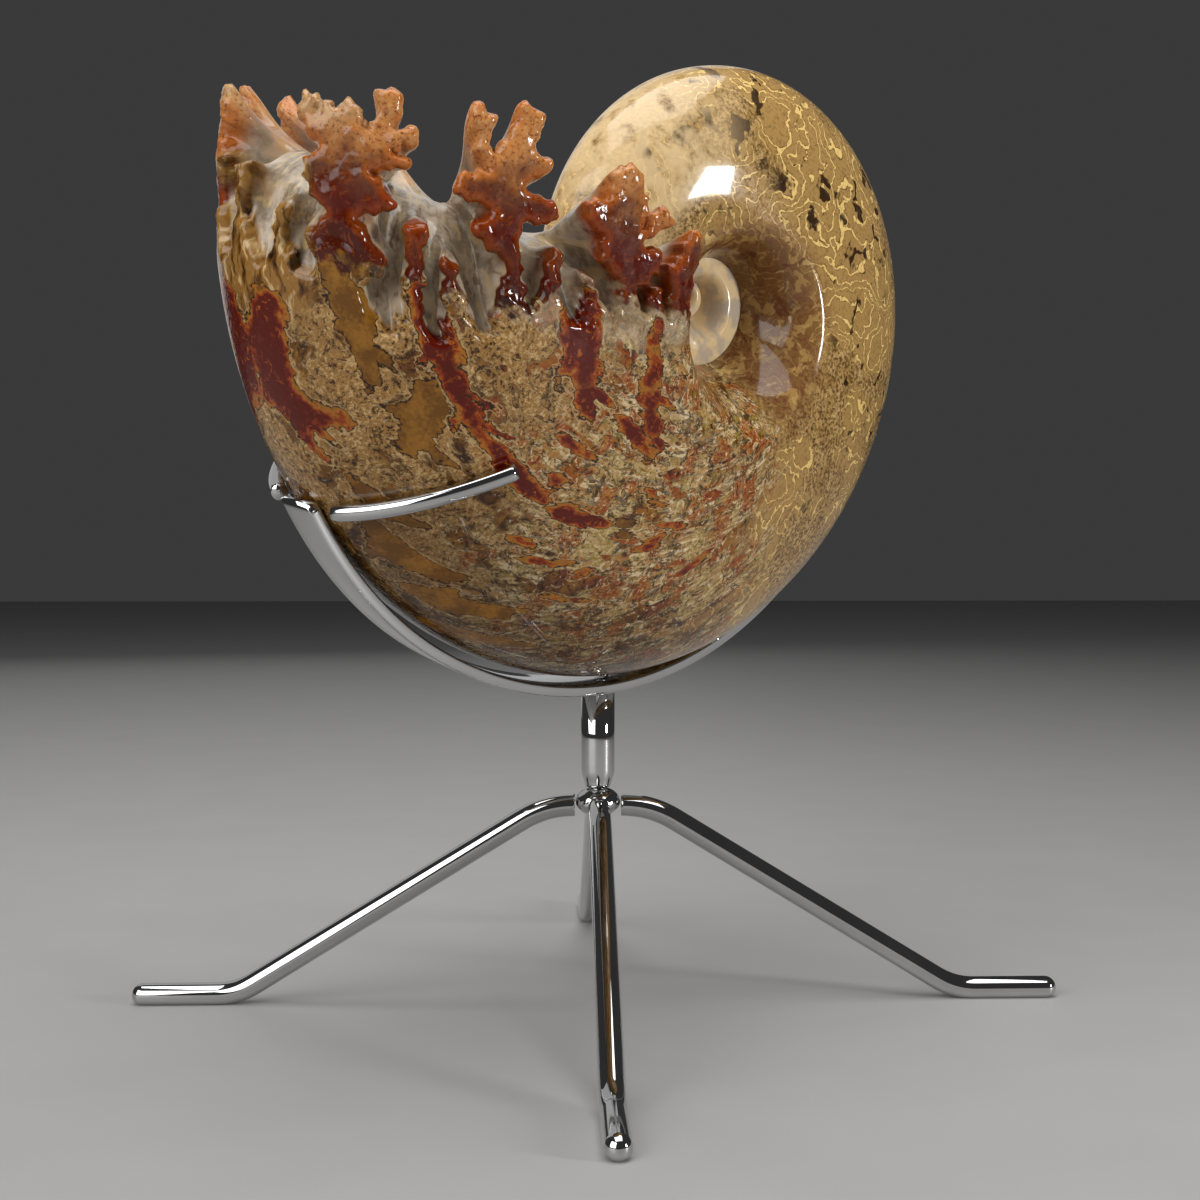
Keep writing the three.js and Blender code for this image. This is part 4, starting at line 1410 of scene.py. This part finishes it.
# %% Labyrinth of the last half turn
def labyrinth(f):
    relief = f.noise(f.frill, 22.0, 0.5)
    wave = f.math("ABSOLUTE", f.math("SINE", f.times(relief, 32.0)))
    dome = f.ramp(wave, (0.0, PALE_YELLOW), (0.24, PALE_YELLOW), (0.34, GOLD_DARK), (0.46, GOLD), (1.0, GOLD))
    calm = f.add(f.noise(f.wander, 38.0, 2.0), f.times(f.between(f.turn, 10, 110, 25), -0.12))
    dull = f.mix(f.mask(f.fine, 0.38, 0.62), GOLD_DARK, f.mix(f.mask(f.coarse, 0.4, 0.6), GOLD, TAN_PALE))
    dome = f.mix(f.times(f.mask(calm, 0.47, 0.53), 0.8), dome, dull)
    dome = f.mix(f.times(f.mask(f.fine, 0.52, 0.36), 0.4), dome, GOLD_DARK)
    blotted = f.mask(f.noise(f.spot, 50.0, 2.0), 0.46, 0.54)
    blots = f.times(blotted, f.mask(f.noise(f.frill, 11.0, 2.0), 0.615, 0.65))
    dome = f.mix(f.times(blots, 0.95), dome, DARK_BROWN)
    pale = f.times(f.between(f.turn, 104, 165, 20), f.mask(f.away, 150, 110))
    dome = f.mix(f.times(pale, f.times(f.mask(f.coarse, 0.25, 0.55), 0.8)), dome, PALE_CREAM)
    in_navel = f.times(f.mask(f.away, 160, 196), f.times(f.mask(f.turn, 168, 150), f.mask(f.turn, -96, -60)))
    wall = f.mix(f.mask(f.grit, 0.42, 0.58), NAVEL_BROWN, TREE_BROWN)
    wall = f.mix(f.times(f.mask(f.noise(f.frill, 6.0, 3.0, 0.65), 0.52, 0.60), 0.8), wall, GOLD)
    dome = f.mix(f.times(in_navel, 0.85), dome, wall)
    inner = f.mix(f.mask(f.coarse, 0.42, 0.6), PALE_CREAM, SMOKE)
    return f.mix(f.mask(f.turn, 165, 178), dome, inner)


# %% [markdown]
# ## The trees of the crown
# The carved saddles are carnelian: nearly black at the foot, dark red in the middle, apricot at the tips,
# and brighter towards their thin edges, where light comes through. Two ramps over the height do this,
# one for the body and one for the rim, and the distance to the outline mixes them.

# %% Trees of the crown
def crown_trees(f):
    lift = f.times(f.math("SUBTRACT", f.coarse, 0.5), 26.0)
    height = f.add(f.add(f.advance, lift), f.times(f.mask(f.away, 60, 130), -13.0))
    share = f.mask(height, -58, 30)
    body = f.ramp(
        share, (0.0, DARK_BROWN), (0.14, MAROON), (0.42, DARK_RED), (0.60, TREE_BROWN),
        (0.78, APRICOT), (1.0, APRICOT),
    )
    rim = f.ramp(
        share, (0.0, DARK_BROWN), (0.14, DARK_RED), (0.30, AMBER), (0.45, ORANGE_RED),
        (0.66, ORANGE), (0.85, APRICOT), (1.0, ORANGE),
    )
    tree = f.mix(f.times(f.mask(f.gap, 4.5, 0.8), 0.7), body, rim)
    tree = f.mix(f.times(f.mask(f.grit, 0.54, 0.66), 0.5), tree, AMBER)
    head = f.mask(height, -3, 9)
    tree = f.mix(f.times(head, f.mask(f.away, 56, 46)), tree, HEAD_TAN)
    tree = f.mix(f.times(f.times(head, f.mask(f.fine, 0.52, 0.64)), 0.55), tree, TAN_PALE)
    tree = f.mix(f.times(f.mask(f.fine, 0.46, 0.36), 0.6), tree, MAROON)
    low_edge = f.add(f.advance, f.add(f.times(f.medium, 12.0), f.times(f.small, 3.0)))
    low_edge = f.add(low_edge, f.times(f.mask(f.away, 104, 136), -19.0))
    low_part = f.times(f.mask(low_edge, -42, -38), f.mask(f.away, 32, 37))
    in_tree = f.math("MAXIMUM", low_part, f.mask(height, -11, -5))
    return tree, f.times(in_tree, f.mask(f.turn, -160, -170)), height


# %% [markdown]
# ## The smoky walls
# Between the trees the chamber wall is grey, milky chalcedony with pale fibres that run down into the
# stone. The depth number says where the wall begins, so that the colour changes behind the edge.

# %% Smoky walls between the trees
def smoky_walls(f, height):
    smoke = f.mix(f.mask(f.coarse, 0.36, 0.62), GREY, SMOKE)
    fibres = f.noise(f.vector(f.add(f.run, f.times(f.medium, 3.0)), f.times(f.advance, 0.35)), 3.4, 3.0, 0.6)
    smoke = f.mix(f.times(f.mask(fibres, 0.52, 0.66), 0.8), smoke, CREAM)
    smoke = f.mix(f.times(f.mask(fibres, 0.46, 0.34), 0.7), smoke, NAVEL_BROWN)
    ridge = f.mix(f.mask(f.coarse, 0.4, 0.62), PINKISH, HEAD_TAN)
    smoke = f.mix(f.mask(height, -9, 6), smoke, ridge)
    low = f.times(f.mask(f.advance, -14, -30), f.mask(f.depth, 0.4, 2.0))
    return smoke, f.math("MAXIMUM", f.mask(f.depth, 3.0, 11.0), low)


# %% [markdown]
# ## The polish
# One material dresses the whole stone, so that no seam shows where the two meshes meet. It stacks the
# recipes above from the flank up to the walls. The stone itself is only half glossy and lightly faceted
# by its crystals. The hand polish is a thin clear coat that waves a little.

# %% Polished fossil
def polished_fossil():
    f = stone_patterns()
    sand, chips, crystal_share = sand_and_crystals(f)
    flank = drawn_fields(f, suture_leaves(f, sand, chips, crystal_share))
    on_dome = f.mask(f.add(f.turn, f.times(f.large, 32.0)), -92, -70)
    colour = f.mix(on_dome, flank, labyrinth(f))
    tree, in_tree, height = crown_trees(f)
    smoke, buried = smoky_walls(f, height)
    misty = f.times(f.mask(f.add(f.advance, f.times(f.medium, 14.0)), -48, -34), f.mask(f.turn, -160, -170))
    misty = f.times(misty, f.times(f.mask(f.away, 52, 66), f.mask(f.red, 0.5, -0.5)))
    colour = f.mix(f.times(misty, 0.5), colour, smoke)
    colour = f.mix(in_tree, colour, tree)
    colour = f.mix(buried, colour, smoke)
    facets = f.times(f.cells(f.skin, 2.4, "Distance"), f.mask(f.turn, -60, -100))
    f.set(Base_Color=colour, Roughness=f.blend(f.mask(f.fine, 0.4, 0.7), 0.10, 0.26))
    f.set(Normal=f.bump(facets, 0.35, 0.5), Coat_Normal=f.bump(f.noise(f.spot, 15.0, 0.0), 0.15, 0.8))
    f.set(Coat_Weight=0.4, Coat_Roughness=0.05, IOR=1.5, Specular_IOR_Level=0.12)
    return f.material


stone = polished_fossil()
print("polished fossil:", len(stone.node_tree.nodes), "nodes")

# %% [markdown]
# ## Chrome and floor
# Chrome is a clean mirror, so what it needs is a slight haze and a little waviness from the polishing
# wheel. The floor is plain and pale, with a soft sheen.

# %% Chrome
CHROME_DARK = (0.50, 0.50, 0.50)
CHROME_LIGHT = (0.60, 0.60, 0.595)


def chromed_steel():
    f = Finish("chromed_steel")
    spot = f.place()
    haze = f.noise(spot, 16.0, 3.0)
    f.set(Base_Color=f.mix(haze, CHROME_DARK, CHROME_LIGHT), Metallic=1.0)
    f.set(Roughness=f.blend(f.mask(haze, 0.35, 0.7), 0.03, 0.07))
    f.set(Normal=f.bump(f.noise(spot, 22.0, 1.0), 0.06, 0.4))
    return f.material


chrome = chromed_steel()
print("chrome:", len(chrome.node_tree.nodes), "nodes")

# %% Pale floor
FLOOR_DARK = (0.34, 0.335, 0.33)
FLOOR_LIGHT = (0.38, 0.375, 0.37)


def pale_floor():
    f = Finish("pale_floor")
    f.set(Base_Color=f.mix(f.noise(f.place(), 60.0, 4.0), FLOOR_DARK, FLOOR_LIGHT), Roughness=0.55)
    return f.material


floor_finish = pale_floor()
print("floor:", len(floor_finish.node_tree.nodes), "nodes")

# %% [markdown]
# ## Dress the model
# Now the pieces take the places of the plain solids, one by one. Each stands in the room where its solid
# stood, because all of them were worked out in the same frame.

# %% Put the pieces together
build_stone(stone)
for k, name in enumerate(["leg_right", "leg_back", "leg_left", "leg_front"]):
    steel_piece(name, turned_about(leg_points, 90 * k) * MM, leg_faces, chrome)
steel_piece("cradle_band", *band_shape(), chrome)
steel_piece("arm_near", *near_arm, chrome)
steel_piece("arm_far", *arm_shape(-1), chrome)
steel_piece("end_rod", *end_rod, chrome)
steel_piece("band_screw", *screw, chrome)
steel_piece("post", *post, chrome)
steel_piece("weld_hub", *hub, chrome)

# %% [markdown]
# ## Floor, room and lights
# The room is dim, so that the chrome has something dark to mirror. A large window on the left models the
# stone, a small one on the right puts the hard glint on the dome, and panels above and behind fill in.
# A narrower spread keeps the windows' light on the stone and off the floor beside them.

# %% Floor and room
ROOM_GREY = (0.042, 0.042, 0.043, 1)

bpy.context.scene.view_settings.view_transform = "Standard"
floor_mesh = bpy.data.meshes.new("floor")
floor_mesh.from_pydata([(-4, -4, 0), (4, -4, 0), (4, 6, 0), (-4, 6, 0)], [], [(0, 1, 2, 3)])
floor_mesh.materials.append(floor_finish)
floor = bpy.data.objects.new("floor", floor_mesh)
bpy.context.scene.collection.objects.link(floor)

world = bpy.data.worlds.new("room")
world.use_nodes = True
world.node_tree.nodes["Background"].inputs["Color"].default_value = ROOM_GREY
world.node_tree.nodes["Background"].inputs["Strength"].default_value = 1.0
bpy.context.scene.world = world
print("floor reaches", floor.dimensions.x, "by", floor.dimensions.y, "m")

# %% Lights
def softbox(name, place, target, size, power, spread=180):
    """A rectangular light that looks at a point; metres, watts and degrees."""
    data = bpy.data.lights.new(name, "AREA")
    data.shape = "RECTANGLE"
    data.size, data.size_y = size
    data.energy = power
    data.spread = radians(spread)
    light = bpy.data.objects.new(name, data)
    light.location = place
    light.rotation_euler = (Vector(target) - Vector(place)).to_track_quat("-Z", "Y").to_euler()
    bpy.context.scene.collection.objects.link(light)
    print(name + ":", power, "W")


softbox("left_window", (-1.35, -1.45, 1.0), (0, 0, 0.28), (1.8, 1.6), 17, 120)
softbox("right_window", (1.22, -0.66, 0.36), (0, -0.05, 0.3), (0.17, 0.28), 4.6, 120)
softbox("back_panel", (-0.6, 1.9, 1.3), (0, 0, 0.3), (2.2, 2.0), 6)
softbox("top_panel", (0.05, -0.3, 1.7), (0, 0, 0.2), (1.5, 1.5), 26)
